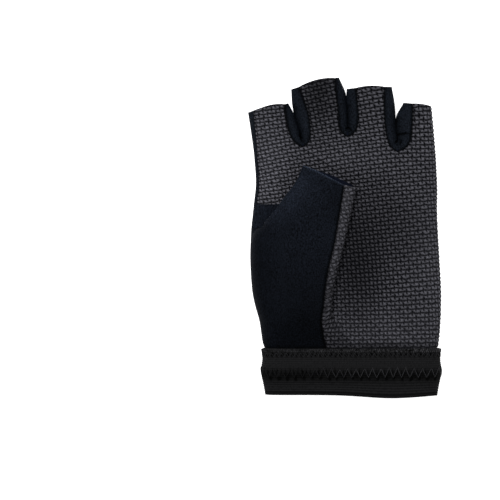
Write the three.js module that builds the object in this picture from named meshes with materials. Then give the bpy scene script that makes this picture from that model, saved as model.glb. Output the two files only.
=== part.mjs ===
// A fingerless neoprene sport glove for the left hand, lying palm up with its thumb folded over the palm.
// Millimetres. x runs from the thumb side to the little finger, y toward the fingertips, and z up from the
// surface that the glove lies on. The origin is the middle of the glove's footprint.
//
// The glove is one continuous skin, worked out as rows of points round the hand, the fingers and the thumb.
// Each panel is a set of that skin's faces, given its wall by moving the points out and in along the skin's
// own directions, so that neighbouring panels meet along one seam with parallel edges and a small gap.
import * as THREE from "three";

// Walls and gaps
const NEOPRENE = 2;
const ELASTIC = 1.5;
const SEAM_GAP = 0.3;

// A corner between two seams moves in by no more than the gap over this share
const MITRE_LIMIT = 0.35;

// How many times wider the gap gets at the thumb crotch, where three seams meet, and how far that reaches
const CROTCH_EASE = 4.5;
const CROTCH_NEAR = 2.5;

// Half the width across the palm, over which its crown is spread
const HALF_WIDTH = 50;

// Heights of the middle of the wall above the surface
const FLOOR_HEIGHT = 1;
const EDGE_HEIGHT = 5.4;
const PALM_HEIGHT = 10;
const PALM_CROWN = 0.7;
const THUMB_TOP_CROWN = 0.9;
const PALM_UNDER_THUMB = 7.5;
const FINGER_ARCH = 0.9;
const SLOT_DIP = 0.5;
const SLOT_RISE = 1.3;

// How far in from the edge the palm and the back are still rounded, and the power of that rounding
const PALM_ROUNDING = { reach: 13, power: 2.2 };
const BACK_ROUNDING = { reach: 9, power: 2.4 };

// The power of the arch across each finger, and the part of the upper palm at which the arches start
const ARCH_POWER = 2.4;
const ARCH_STARTS = 0.6;

// How far above the band the crown of the thumb's upper side is full
const CROWN_REACH = 20;

// The band round the wrist and how the panels rise inside it
const BAND_TOP = -59.4;
const PANEL_END = -73.2;
const BAND_GAP = 0.5;
const BAND_LIFT = ELASTIC + BAND_GAP;
const LIFT_ENDS = -46;

// The fold that lays the thumb over the palm: the radius of its lower turn, how far the strip of grip cloth
// runs past the upper turn and how much more by the thumb's mouth, and the least length of skin that each
// turn takes up, where it hardly bends
const VALLEY_RADIUS = 1.3;
const STRIP_FLAT = 0.9;
const STRIP_WIDENS = 1.8;
const LEAST_TURN = 2.6;
const LEAST_OVERHANG = 0.5;
const CROTCH = { x: -43.4, y: 4.4, z: PALM_UNDER_THUMB + VALLEY_RADIUS };

// Near the crotch: how far the rows open round it, how soon they take its shape, and the handles of the
// curves that lead down to it over the thumb's shoulder and on from it down the web
const CROTCH_OPENING = { width: 6, fade: 8 };
const CROTCH_BLEND = 2.5;
const SHOULDER_HANDLES = { out: 3.4, x: 0.8, z: 3.2 };
const WEB_HANDLES = { x: 2.0, z: 1.6, end: 1.6 };

// The thumb's weight on the palm starts above the band, and fades past three lines: the fold, the mouth and
// the thumb's upper edge. Each is given by a point on it and the direction that leads away from the thumb.
const PRESS_START = { y: -50, reach: 14 };
const PRESS_LIMITS = [
  { x: -8.2, y: -44.3, awayX: 1, awayY: -0.19, reach: 15 },
  { x: -22.2, y: 37.8, awayX: 0.36, awayY: 0.93, reach: 9 },
  { x: -43.4, y: 4.4, awayX: -0.844, awayY: 0.536, reach: 9 },
];

// Sections of the lower hand, from the panels' lower end to the thumb crotch. left and right are the edges,
// under and over are the centres of the two turns of the thumb fold, turn is the radius of the upper one,
// skew is how much lower the fold's end of a row lies, shoulder is where the thumb side starts to round off,
// top is the height of the thumb's upper side, and slot1 to slot3 are the lines that lead up to the slots.
const HAND = [
  { y: -73.2, left: -41.0, right: 48.0, under: 4.0, over: -8.0, turn: 2.4, skew: 0.0, shoulder: -29.0,
    top: 10.6, slot1: 12, slot2: 24, slot3: 36 },
  { y: -59.4, left: -41.0, right: 48.0, under: 4.0, over: -9.0, turn: 2.4, skew: 0.0, shoulder: -29.0,
    top: 10.7, slot1: 12, slot2: 24, slot3: 36 },
  { y: -56.6, left: -42.4, right: 48.9, under: 3.6, over: -9.6, turn: 2.4, skew: 0.0, shoulder: -29.5,
    top: 11.2, slot1: 11.7, slot2: 24, slot3: 36 },
  { y: -44.3, left: -44.3, right: 50.1, under: -4.0, over: -11.6, turn: 2.4, skew: 0.5, shoulder: -31.5,
    top: 15.6, slot1: 7, slot2: 20, slot3: 34 },
  { y: -36.0, left: -46.6, right: 50.3, under: -11.3, over: -10.7, turn: 2.5, skew: 1.0, shoulder: -34.0,
    top: 16.5, slot1: 2, slot2: 17, slot3: 32.5 },
  { y: -27.9, left: -48.2, right: 50.3, under: -17.2, over: -10.1, turn: 2.8, skew: 2.0, shoulder: -36.2,
    top: 16.6, slot1: -3, slot2: 14, slot3: 31 },
  { y: -10.9, left: -49.2, right: 49.4, under: -30.4, over: -8.3, turn: 3.0, skew: 7.4, shoulder: -37.6,
    top: 16.6, slot1: -13, slot2: 7, slot3: 29 },
  { y: 4.4, left: -48.7, right: 48.6, under: -42.1, over: -6.0, turn: 3.1, skew: 13.2, shoulder: -39.5,
    top: 16.6, slot1: -21, slot2: 2, slot3: 27 },
];

// Sections of the upper palm, from the thumb crotch to the knuckle row at part 1. split is the line that runs
// up from the thumb crotch round the web, and sliver is how far the back shows round the thumb-side edge.
const UPPER = [
  { part: 0.0, left: -48.7, right: 48.6, split: -43.4, slot1: -21.0, slot2: 2.0, slot3: 27.0, sliver: 0.0 },
  { part: 0.32, left: -47.3, right: 48.2, split: -34.9, slot1: -21.8, slot2: 1.7, slot3: 27.3, sliver: 0.7 },
  { part: 0.6, left: -46.2, right: 48.3, split: -34.4, slot1: -22.2, slot2: 1.4, slot3: 27.6, sliver: 0.8 },
  { part: 1.0, left: -47.3, right: 47.6, split: -35.6, slot1: -22.2, slot2: 1.4, slot3: 27.6, sliver: 0.9 },
];
const WEB_PART = 0.32;

// The knuckle row, through the bottoms of the three slots
const KNUCKLES = [
  { x: -48, y: 45.5 },
  { x: -22.2, y: 47.8 },
  { x: 1.4, y: 53.2 },
  { x: 27.6, y: 45.0 },
  { x: 48, y: 42 },
];

// The two seams of each slot, from its bottom to the fingertips, and how far each leg of the strip in the
// slot swells into it, at the bottom, a quarter, half, three quarters of the way up, and at the tip.
const SLOTS = [
  {
    name: "fourchette_index_middle",
    low: [[-22.2, 47.8], [-25.4, 49.4], [-28.0, 52.2], [-29.8, 56.4], [-31.2, 62.8], [-32.2, 70.6]],
    high: [[-22.2, 47.8], [-19.6, 49.6], [-18.4, 52.6], [-18.2, 58.0], [-19.6, 66.4], [-22.4, 74.6],
      [-24.3, 79.8]],
    lowLeg: { bottom: 2.4, quarter: 3.5, half: 4.7, upper: 3.6, tip: 1.4 },
    highLeg: { bottom: 2.4, quarter: 3.9, half: 6.1, upper: 5.6, tip: 3.4 },
  },
  {
    name: "fourchette_middle_ring",
    low: [[1.4, 53.2], [-1.6, 55.0], [-3.1, 58.6], [-3.7, 65.0], [-4.5, 74.0], [-5.7, 84.4]],
    high: [[1.4, 53.2], [4.6, 55.0], [6.6, 58.4], [7.3, 64.0], [6.7, 72.0], [5.9, 79.2]],
    lowLeg: { bottom: 2.3, quarter: 3.3, half: 4.2, upper: 4.0, tip: 1.7 },
    highLeg: { bottom: 2.3, quarter: 3.8, half: 4.9, upper: 4.8, tip: 3.9 },
  },
  {
    name: "fourchette_ring_little",
    low: [[27.6, 45.0], [24.4, 47.4], [22.2, 52.6], [21.0, 60.0], [20.6, 70.0], [20.7, 79.8]],
    high: [[27.6, 45.0], [32.0, 47.2], [34.6, 51.0], [35.6, 58.0], [35.9, 64.6], [36.0, 71.0]],
    lowLeg: { bottom: 2.4, quarter: 3.9, half: 5.1, upper: 5.1, tip: 3.4 },
    highLeg: { bottom: 2.4, quarter: 4.9, half: 7.2, upper: 7.3, tip: 3.9 },
  },
];

// The outer edges of the index and the little finger, and how far each fingertip's edge bows out
const INDEX_EDGE = [[-47.3, 45.5], [-48.9, 57.0], [-50.4, 66.6]];
const LITTLE_EDGE = [[47.6, 42.0], [46.6, 54.0], [45.2, 69.6]];
const TIP_BOW = { index: 1.4, middle: 1.4, ring: 0.8, little: 0.4 };
const INDEX_SLIVER_TIP = 2.0;

// The thumb beyond its crotch: its upper-left edge and its fold at the right, from the crotch to the mouth
const THUMB_EDGE = [[-43.4, 4.4], [-41.6, 7.4], [-36.8, 13.2], [-31.6, 20.3], [-25.4, 28.4], [-21.6, 36.6]];
const THUMB_FOLD = [[-2.9, -8.8], [-1.2, -1.9], [0.1, 3.9], [2.8, 16.2], [5.2, 27.1]];
const THUMB_TURN = 3.1;
const THUMB_EDGE_HEIGHT = 13.2;
const THUMB_EDGE_RISE = 3;

// Where the thumb's two sides are flat, measured in from its upper-left edge, the handles of the curves that
// join them round that edge, and how far the lower side's lip stands out of the mouth, from which share on
const THUMB_FLAT = { under: 4.2, over: 4.8 };
const UNDER_HANDLES = { edge: 1.4, flat: 2.2 };
const OVER_HANDLES = { edge: 2, flat: 2.8 };
const MOUTH_LIP = { out: 1.6, from: 0.9 };

// The elastic band: how far it stands off the panels inside it, more than the least, from its top edge down.
// Below the panels' end it draws in. Its lower edge dips by HEM.dip round HEM.x.
const BAND = [
  { y: -58.9, swell: 0.2 },
  { y: -61.5, swell: 0.0 },
  { y: -65.0, swell: 0.0 },
  { y: -67.4, swell: 0.25 },
  { y: -69.8, swell: 0.6 },
  { y: -72.2, swell: 0.4 },
  { y: -74.6, swell: 0.0 },
  { y: -78.6, swell: -0.9 },
  { y: -83.4, swell: -1.7 },
];
const HEM = { dip: 1.7, x: 25, reach: 20 };

// Rows and columns of the skin
const LOWER_ROWS = [-73.2, -66, -59.4, -56.6, -52, -47.5, -44.3, -40.5, -37, -33, -27.9, -22, -16.5, -10.9,
  -6, -2.2, 1.0, 3.1, 4.0, 4.4];
const UPPER_ROWS = [0, 0.03, 0.08, 0.18, 0.32, 0.46, 0.62, 0.8, 0.92, 1];
const FINGER_ROWS = [0, 0.04, 0.1, 0.2, 0.34, 0.54, 0.77, 1];
const THUMB_ROWS = [0, 0.03, 0.09, 0.2, 0.38, 0.58, 0.78, 0.92, 1];
const COLUMNS = { wrap: 2, index: 3, middle: 4, ring: 4, little: 6, valley: 2, facing: 4, turn: 5, strip: 1,
  thumbTop: 5, shoulder: 4, side: 3, fourchette: 5 };

// The back's lines toward the slots, at the panels' lower end
const BACK_LINES = [-18, 3.5, 26];

const clamp01 = (value) => Math.min(1, Math.max(0, value));
const mix = (a, b, t) => a + (b - a) * t;
const mixPoints = (a, b, t) => a.map((value, i) => mix(value, b[i], t));
const smooth = (value) => clamp01(value) ** 2 * (3 - 2 * clamp01(value));
const steps = (count) => Array.from({ length: count + 1 }, (_, i) => i / count);

// A cubic through the knots: values at rising places, with each slope taken from its two neighbours.
function through(places, values, at) {
  const last = places.length - 1;
  const at1 = Math.min(Math.max(at, places[0]), places[last]);
  let i = 0;
  while (i < last - 1 && at1 > places[i + 1]) i += 1;
  const slope = (k) => {
    const a = Math.max(0, k - 1);
    const b = Math.min(last, k + 1);
    return (values[b] - values[a]) / (places[b] - places[a]);
  };
  const width = places[i + 1] - places[i];
  const t = (at1 - places[i]) / width;
  const rise = t * t * (3 - 2 * t);
  return (
    mix(values[i], values[i + 1], rise) +
    width * (t * (1 - t) ** 2 * slope(i) - t * t * (1 - t) * slope(i + 1))
  );
}

// One named column of a table, at a place along the table's own first column.
const lookUp = (table, place, column, at) =>
  through(table.map((row) => row[place]), table.map((row) => row[column]), at);

// A point on the smooth curve through plan points, at a share of its length.
function along(points, share) {
  const lengths = [0];
  for (let i = 1; i < points.length; i += 1) {
    const [a, b] = [points[i - 1], points[i]];
    lengths.push(lengths[i - 1] + Math.hypot(b[0] - a[0], b[1] - a[1]));
  }
  const at = share * lengths.at(-1);
  return [0, 1].map((axis) => through(lengths, points.map((p) => p[axis]), at));
}

// How far the rounding at an edge has risen, from 0 at the edge to 1 where it is over.
const rounded = (distance, { reach, power }) =>
  (1 - (1 - clamp01(distance / reach)) ** power) ** (1 / power);

// A cubic curve with the ends a and d and the handles b and c.
function bezier(a, b, c, d, t) {
  const weights = [(1 - t) ** 3, 3 * (1 - t) ** 2 * t, 3 * (1 - t) * t * t, t ** 3];
  return a.map((_, i) => weights[0] * a[i] + weights[1] * b[i] + weights[2] * c[i] + weights[3] * d[i]);
}

// The share of the thumb's weight at a point of the palm: 1 under the thumb, fading to 0 round it.
function pressed(x, y) {
  const past = (line) => ((x - line.x) * line.awayX + (y - line.y) * line.awayY) / line.reach;
  return PRESS_LIMITS.reduce(
    (share, line) => share * smooth(1 - past(line)),
    smooth((y - PRESS_START.y) / PRESS_START.reach),
  );
}

// Height of the middle of the palm's wall at a plan point, with the edges at left and right.
function palmHeight(x, y, left, right, arch = 0) {
  const crest = PALM_HEIGHT + PALM_CROWN * (1 - (x / HALF_WIDTH) ** 2) + arch;
  const rise = rounded(x - left, PALM_ROUNDING) * rounded(right - x, PALM_ROUNDING);
  return mix(EDGE_HEIGHT, mix(crest, PALM_UNDER_THUMB, pressed(x, y)), rise);
}

// Height of the middle of the back's wall, raised near the band, whose lower side lies under it.
function backHeight(x, y, left, right, arch = 0) {
  const lift = BAND_LIFT * (1 - smooth((y - BAND_TOP) / (LIFT_ENDS - BAND_TOP)));
  const fall = rounded(x - left, BACK_ROUNDING) * rounded(right - x, BACK_ROUNDING);
  return mix(EDGE_HEIGHT, FLOOR_HEIGHT + lift + arch, fall);
}

// How far across a finger, from a seam at 0 or at 1, its front has risen from the slots' level to its crest.
const betweenSlots = (t) => 1 - Math.abs(2 * t - 1) ** ARCH_POWER;
const besideSlot = (t) => 1 - (1 - t) ** ARCH_POWER;

// The skin: shared points, and faces that each belong to a panel.
class Skin {
  constructor() {
    this.points = [];
    this.index = new Map();
    this.faces = [];
  }

  vertex(point) {
    const key = point.map((value) => value.toFixed(3)).join();
    if (!this.index.has(key)) {
      this.index.set(key, this.points.length);
      this.points.push(new THREE.Vector3(...point));
    }
    return this.index.get(key);
  }

  // Adds the faces between neighbouring rows of points. Columns run round the hand and rows along it.
  grid(rows, panelAt) {
    for (let r = 0; r + 1 < rows.length; r += 1) {
      for (let c = 0; c + 1 < rows[r].length; c += 1) {
        const corners = [rows[r][c], rows[r + 1][c], rows[r + 1][c + 1], rows[r][c + 1]];
        const loop = [...new Set(corners.map((corner) => this.vertex(corner)))];
        if (loop.length > 2) this.faces.push({ loop, panel: panelAt(r, c) });
      }
    }
  }

  // The triangles of a face, split along its shorter diagonal.
  split({ loop }) {
    if (loop.length === 3) return [loop];
    const [a, b, c, d] = loop;
    const p = this.points;
    if (p[a].distanceTo(p[c]) <= p[b].distanceTo(p[d])) return [[a, b, c], [a, c, d]];
    return [[a, b, d], [b, c, d]];
  }

  // Outward direction at each point, from the faces round it.
  directions() {
    const out = this.points.map(() => new THREE.Vector3());
    const [u, v] = [new THREE.Vector3(), new THREE.Vector3()];
    for (const face of this.faces) {
      for (const [a, b, c] of this.split(face)) {
        u.subVectors(this.points[b], this.points[a]);
        v.subVectors(this.points[c], this.points[a]);
        u.cross(v);
        [a, b, c].forEach((i) => out[i].add(u));
      }
    }
    return out.map((direction) => direction.normalize());
  }

  // One panel as a closed wall: its faces moved out and in by half the wall, and a rim round its border.
  panel(name, wall, directions) {
    const triangles = this.faces.filter((face) => face.panel === name).flatMap((face) => this.split(face));
    const ends = (list) => list.flatMap(([a, b, c]) => [[a, b], [b, c], [c, a]]);
    const every = this.faces.flatMap((face) => this.split(face));
    const own = new Set(ends(triangles).map(([a, b]) => `${a},${b}`));
    const border = ends(triangles).filter(([a, b]) => !own.has(`${b},${a}`));
    const everyEdge = new Set(ends(every).map(([a, b]) => `${a},${b}`));
    const inward = new Map();
    for (const [a, b] of border.filter(([p, q]) => everyEdge.has(`${q},${p}`))) {
      const run = new THREE.Vector3().subVectors(this.points[b], this.points[a]).normalize();
      for (const i of [a, b]) {
        const step = new THREE.Vector3().crossVectors(directions[i], run).normalize();
        inward.set(i, [...(inward.get(i) ?? []), step]);
      }
    }
    const place = (i, side) => {
      const seat = this.points[i].clone();
      if (inward.has(i)) {
        const mean = inward.get(i).reduce((sum, step) => sum.add(step), new THREE.Vector3()).normalize();
        const spread = Math.max(MITRE_LIMIT, Math.min(...inward.get(i).map((step) => step.dot(mean))));
        const toCrotch = seat.distanceTo(new THREE.Vector3(CROTCH.x, CROTCH.y, CROTCH.z));
        const wider = 1 + CROTCH_EASE * Math.exp(-((toCrotch / CROTCH_NEAR) ** 2));
        seat.addScaledVector(mean, (SEAM_GAP / 2 / spread) * wider);
      }
      return seat.addScaledVector(directions[i], (side * wall) / 2).toArray();
    };
    const facets = triangles.flatMap(([a, b, c]) => [
      [place(a, 1), place(b, 1), place(c, 1)],
      [place(a, -1), place(c, -1), place(b, -1)],
    ]);
    for (const [a, b] of border) {
      const [outA, outB, inA, inB] = [place(a, 1), place(b, 1), place(a, -1), place(b, -1)];
      facets.push([outA, inA, outB], [outB, inA, inB]);
    }
    return meshData(facets);
  }
}

// A geometry from triangles given as points.
function meshData(facets) {
  const geometry = new THREE.BufferGeometry();
  geometry.setAttribute("position", new THREE.Float32BufferAttribute(facets.flat(2), 3));
  geometry.computeVertexNormals();
  return geometry;
}

// Columns that crowd toward an edge, where the skin turns down.
const crowdLow = (count) => steps(count).map((t) => 1 - Math.cos((t * Math.PI) / 2));
const crowdHigh = (count) => steps(count).map((t) => Math.sin((t * Math.PI) / 2));

// Plan x of the palm's columns, from the little-finger edge to the column next to the thumb.
function palmColumns({ right, slot3, slot2, slot1 }, end) {
  return [
    ...crowdHigh(COLUMNS.little).reverse().map((t) => mix(slot3, right, t)),
    ...steps(COLUMNS.ring).slice(1).map((t) => mix(slot3, slot2, t)),
    ...steps(COLUMNS.middle).slice(1).map((t) => mix(slot2, slot1, t)),
    ...steps(COLUMNS.index).slice(1).map((t) => mix(slot1, end, t)),
  ];
}

// Plan x of the back's columns, from the thumb-side edge to the little-finger edge.
function backColumns(left, slot1, slot2, slot3, right) {
  return [
    ...crowdLow(COLUMNS.little).map((t) => mix(left, slot1, t)),
    ...steps(COLUMNS.middle).slice(1).map((t) => mix(slot1, slot2, t)),
    ...steps(COLUMNS.ring).slice(1).map((t) => mix(slot2, slot3, t)),
    ...crowdHigh(COLUMNS.little).slice(1).map((t) => mix(slot3, right, t)),
  ];
}

// Every column of a table at one place, as a row of its own.
const section = (table, place, at) =>
  Object.fromEntries(Object.keys(table[0]).map((column) => [column, lookUp(table, place, column, at)]));

// The side wall below the thumb crotch: a rounded quarter from the shoulder down to the edge.
const SIDE_POWER = 0.85;
const SIDE_SPLIT = (75 * Math.PI) / 180;
const sideWall = (at, angle) => [
  at.shoulder - (at.shoulder - at.left) * Math.sin(angle) ** SIDE_POWER,
  EDGE_HEIGHT + (at.top - EDGE_HEIGHT) * Math.cos(angle) ** SIDE_POWER,
];

// How close a row is to the crotch: 1 in its row and 0 well below it. It falls steeply at first, so that the
// crotch opens as a round U.
const crotchShare = (depth) => 1 - Math.sqrt(1 - Math.exp(-depth / CROTCH_BLEND));

// One row round the lower hand. Near the thumb the skin turns up and back over itself at the valley, runs out
// to the fold, turns again and comes back as the thumb's upper side: two turns joined by a straight run.
function lowerRow(y) {
  const at = section(HAND, "y", y);
  const depth = CROTCH.y - y;
  const opening = Math.sqrt(CROTCH_OPENING.width * depth * Math.exp(-depth / CROTCH_OPENING.fade));
  const tip = CROTCH.x + Math.hypot(opening, at.under - VALLEY_RADIUS - CROTCH.x);
  const under = tip + VALLEY_RADIUS;
  const farLeft = at.left - HALF_WIDTH;
  const low = palmHeight(under, y, farLeft, at.right);
  const palm = palmColumns(at, under).map((x) => [x, y, palmHeight(x, y, farLeft, at.right)]);

  const across = at.over - under;
  const up = at.top - low - VALLEY_RADIUS - at.turn;
  const radii = VALLEY_RADIUS + at.turn;
  const run = Math.sqrt(across ** 2 + up ** 2 - radii ** 2);
  let bend = Math.PI - Math.atan2(up, across) + Math.atan2(radii, run);
  if (bend > 1.5 * Math.PI) bend -= 2 * Math.PI;
  const whole = radii * bend + run;
  const valleyEnd = Math.max(VALLEY_RADIUS * bend, LEAST_TURN);
  const turnStart = whole - Math.max(at.turn * bend, LEAST_TURN);
  const toTip = VALLEY_RADIUS * Math.min(bend, Math.PI / 2);
  const toFold = whole - at.turn * Math.min(bend, Math.PI / 2);

  // The point that lies so far along the two turns and the run between them.
  const onFold = (travelled) => {
    const first = Math.min(travelled / VALLEY_RADIUS, bend);
    const last = Math.min((whole - travelled) / at.turn, bend);
    const rising = [under - VALLEY_RADIUS * Math.sin(first), low + VALLEY_RADIUS * (1 - Math.cos(first))];
    const falling = [at.over + at.turn * Math.sin(last), at.top - at.turn * (1 - Math.cos(last))];
    const [x, z] = mixPoints(rising, falling, clamp01((travelled - VALLEY_RADIUS * bend) / run));
    return [x, y - at.skew * clamp01((travelled - toTip) / (toFold - toTip)), z];
  };
  const stretch = (count, from, to) => steps(count).map((t) => onFold(mix(from, to, t)));
  const valley = stretch(2 * COLUMNS.valley, 0, valleyEnd);
  if (depth === 0) valley[COLUMNS.valley] = [CROTCH.x, CROTCH.y, CROTCH.z];
  const facing = stretch(COLUMNS.facing, valleyEnd, turnStart);
  const turn = stretch(COLUMNS.turn, turnStart, whole);

  const nearCrotch = crotchShare(depth);
  const overhang = Math.max(at.turn * Math.sin(Math.min(bend, Math.PI / 2)), LEAST_OVERHANG);
  const foldX = at.over + overhang;
  const nearSide = mixPoints(sideWall(at, SIDE_SPLIT), [CROTCH.x, CROTCH.z], nearCrotch);
  const skewed = (x, z) => [x, y - at.skew * clamp01((x - nearSide[0]) / (foldX - nearSide[0])), z];
  const stripEnd = at.over - STRIP_FLAT;
  const strip = steps(COLUMNS.strip).map((t) => skewed(mix(at.over, stripEnd, t), at.top));
  const thumbTop = steps(COLUMNS.thumbTop).map((t) =>
    skewed(mix(stripEnd, at.shoulder, t), at.top + thumbCrown(y, t)));
  const foldDown = (t) => bezier([at.shoulder, at.top], [at.shoulder - SHOULDER_HANDLES.out, at.top],
    [CROTCH.x - SHOULDER_HANDLES.x, CROTCH.z + SHOULDER_HANDLES.z], [CROTCH.x, CROTCH.z], t);
  const webDown = (t) => bezier([CROTCH.x, CROTCH.z], [CROTCH.x - WEB_HANDLES.x, CROTCH.z - WEB_HANDLES.z],
    [at.left, EDGE_HEIGHT + WEB_HANDLES.end], [at.left, EDGE_HEIGHT], t);
  const shoulder = steps(COLUMNS.shoulder).map((t) =>
    skewed(...mixPoints(sideWall(at, SIDE_SPLIT * t), foldDown(t), nearCrotch)));
  const side = steps(COLUMNS.side).map((t) => {
    const wall = sideWall(at, mix(SIDE_SPLIT, Math.PI / 2, t));
    const [x, z] = mixPoints(wall, webDown(t), nearCrotch);
    return [x, y, z];
  });
  side[COLUMNS.side] = [at.left, y, EDGE_HEIGHT];

  const height = (y - PANEL_END) / (CROTCH.y - PANEL_END);
  const upperLines = [UPPER[0].slot1, UPPER[0].slot2, UPPER[0].slot3];
  const lines = BACK_LINES.map((line, i) => mix(line, upperLines[i], height));
  const onBack = (x) => [x, y, backHeight(x, y, at.left, at.right)];
  const back = backColumns(at.left, ...lines, at.right).map(onBack);
  const wrap = steps(COLUMNS.wrap).map(() => back[0]);
  return { wrap, back, palm, valley, facing, turn, strip, thumbTop, shoulder, side };
}

// Puts a row's groups in order, each starting at the point where the one before it ends.
const joined = (row, groups) => groups.flatMap((group, i) => (i ? row[group].slice(1) : row[group]));
const groupColumns = (row, groups) => groups.flatMap((group) => Array(row[group].length - 1).fill(group));

// A rise of the thumb's upper side between the strip and the shoulder.
function thumbCrown(y, t) {
  return THUMB_TOP_CROWN * smooth((y - LIFT_ENDS) / CROWN_REACH) * Math.sin(Math.PI * t);
}

// The knuckle row's y over a plan x.
const knuckleY = (x) => lookUp(KNUCKLES, "x", "y", x);

// One row of the upper palm and its back, from the crotch's row at part 0 to the knuckle row at part 1.
function upperRow(part, first) {
  if (part === 0) return { ...first, valleyLow: first.valley.slice(0, COLUMNS.valley + 1), web: first.side };
  const at = section(UPPER, "part", part);
  const seam = at.left + (part < WEB_PART ? 0 : at.sliver);
  const arched = smooth((part - ARCH_STARTS) / (1 - ARCH_STARTS));
  const yAt = (x) => mix(CROTCH.y, knuckleY(x), part);
  const slots = [at.slot1, at.slot2, at.slot3];
  const acrossRay = (x) => {
    if (x >= at.slot3) return besideSlot((x - at.slot3) / (at.right - at.slot3));
    if (x >= at.slot2) return betweenSlots((x - at.slot2) / (at.slot3 - at.slot2));
    if (x >= at.slot1) return betweenSlots((x - at.slot1) / (at.slot2 - at.slot1));
    return besideSlot((at.slot1 - x) / (at.slot1 - at.left));
  };
  const ridge = VALLEY_RADIUS * Math.exp(-((part * (knuckleY(CROTCH.x) - CROTCH.y)) ** 2));
  const onPalm = (x, lift = 0) => {
    const arch = arched * mix(-SLOT_DIP, FINGER_ARCH, acrossRay(x));
    return [x, yAt(x), palmHeight(x, yAt(x), at.left, at.right, arch) + lift];
  };
  const onBack = (x) => {
    const arch = arched * SLOT_RISE * (1 - acrossRay(x));
    return [x, yAt(x), backHeight(x, yAt(x), at.left, at.right, arch)];
  };
  const start = at.split + VALLEY_RADIUS;
  return {
    wrap: crowdHigh(COLUMNS.wrap).map((t) => onPalm(mix(seam, at.left, t))),
    back: backColumns(at.left, ...slots, at.right).map(onBack),
    palm: palmColumns(at, start).map((x) => onPalm(x)),
    valleyLow: steps(COLUMNS.valley).map((t) =>
      onPalm(start - VALLEY_RADIUS * Math.sin((t * Math.PI) / 2), ridge * (1 - Math.cos((t * Math.PI) / 2)))),
    web: crowdHigh(COLUMNS.side).map((t) => onPalm(mix(at.split, seam, t), ridge * (1 - t) ** 2)),
  };
}

// One row of a finger, from its share of the knuckle row at share 0 to the tip at share 1. fromRight and
// fromLeft are its two sides, and the columns keep the places that they have in the knuckle row.
function fingerRow(columns, share, fromRight, fromLeft, bow, heightAt) {
  const [first, last] = [columns[0], columns.at(-1)];
  return columns.map((column) => {
    const t = (column[0] - first[0]) / (last[0] - first[0]);
    const knuckleBow = (column[1] - mix(first[1], last[1], t)) * (1 - share) ** 2;
    const x = mix(fromRight[0], fromLeft[0], t);
    const y = mix(fromRight[1], fromLeft[1], t) + knuckleBow + bow * 4 * t * (1 - t) * share ** 2;
    return [x, y, heightAt(x, y, t)];
  });
}

// The four fingers in order from the little finger, with their sides and the palm and back columns they take.
function fingerSides(share) {
  const [first, second, third] = SLOTS;
  const sliver = mix(UPPER.at(-1).sliver, INDEX_SLIVER_TIP, share);
  const edge = along(INDEX_EDGE, share);
  return {
    little: { right: along(LITTLE_EDGE, share), left: along(third.high, share) },
    ring: { right: along(third.low, share), left: along(second.high, share) },
    middle: { right: along(second.low, share), left: along(first.high, share) },
    index: { right: along(first.low, share), left: [edge[0] + sliver, edge[1]], edge },
  };
}

// Adds the fingers beyond the knuckle row, and gives back each row's end points at the slots.
function addFingers(skin, knuckles) {
  const palmLine = joined(knuckles, ["palm", "valleyLow", "web"]);
  const backLine = knuckles.back;
  const counts = [COLUMNS.little, COLUMNS.ring, COLUMNS.middle, palmLine.length];
  const backCounts = [COLUMNS.little, COLUMNS.middle, COLUMNS.ring, COLUMNS.little];
  const cut = (line, sizes) => {
    let from = 0;
    return sizes.map((size) => {
      const part = line.slice(from, from + size + 1);
      from += size;
      return part;
    });
  };
  const palmParts = cut(palmLine, counts);
  const backParts = cut(backLine, backCounts).reverse().map((part) => [...part].reverse());
  const ends = {};
  ["little", "ring", "middle", "index"].forEach((name, i) => {
    const outer = { little: name === "little", index: name === "index" };
    const rise = outer.little ? (t) => besideSlot(1 - t) : outer.index ? besideSlot : betweenSlots;
    const build = (columns, side, share, wide) => {
      const sides = fingerSides(share)[name];
      const left = outer.index ? sides.edge[0] : -Infinity;
      const right = outer.little ? sides.right[0] : Infinity;
      const heightAt = side === "palm"
        ? (x, y, t) => palmHeight(x, y, left, right, mix(-SLOT_DIP, FINGER_ARCH, rise(t)))
        : (x, y, t) => backHeight(x, y, left, right, SLOT_RISE * (1 - rise(t)));
      return fingerRow(columns, share, sides.right, wide ? sides.edge : sides.left, TIP_BOW[name], heightAt);
    };
    const palmRows = FINGER_ROWS.map((share) => (share ? build(palmParts[i], "palm", share) : palmParts[i]));
    const backRows = FINGER_ROWS.map((share) =>
      share ? build(backParts[i], "back", share, outer.index) : backParts[i]);
    skin.grid(palmRows, () => "palm_panel");
    skin.grid(backRows.map((row) => [...row].reverse()), () => "back_panel");
    if (outer.index) {
      skin.grid(FINGER_ROWS.map((share, r) => {
        if (!share) return knuckles.wrap;
        const [from, to] = [palmRows[r].at(-1), backRows[r].at(-1)];
        const edge = fingerSides(share).index.edge[0];
        return crowdHigh(COLUMNS.wrap).map((t, k) => {
          if (k === 0) return from;
          if (k === COLUMNS.wrap) return to;
          const x = mix(from[0], edge, t);
          return [x, mix(from[1], to[1], t), palmHeight(x, from[1], edge, Infinity, FINGER_ARCH)];
        });
      }), () => "back_panel");
    }
    ends[name] = {
      right: FINGER_ROWS.map((_, r) => [palmRows[r][0], backRows[r][0]]),
      left: FINGER_ROWS.map((_, r) => [palmRows[r].at(-1), backRows[r].at(-1)]),
    };
  });
  return ends;
}

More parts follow.
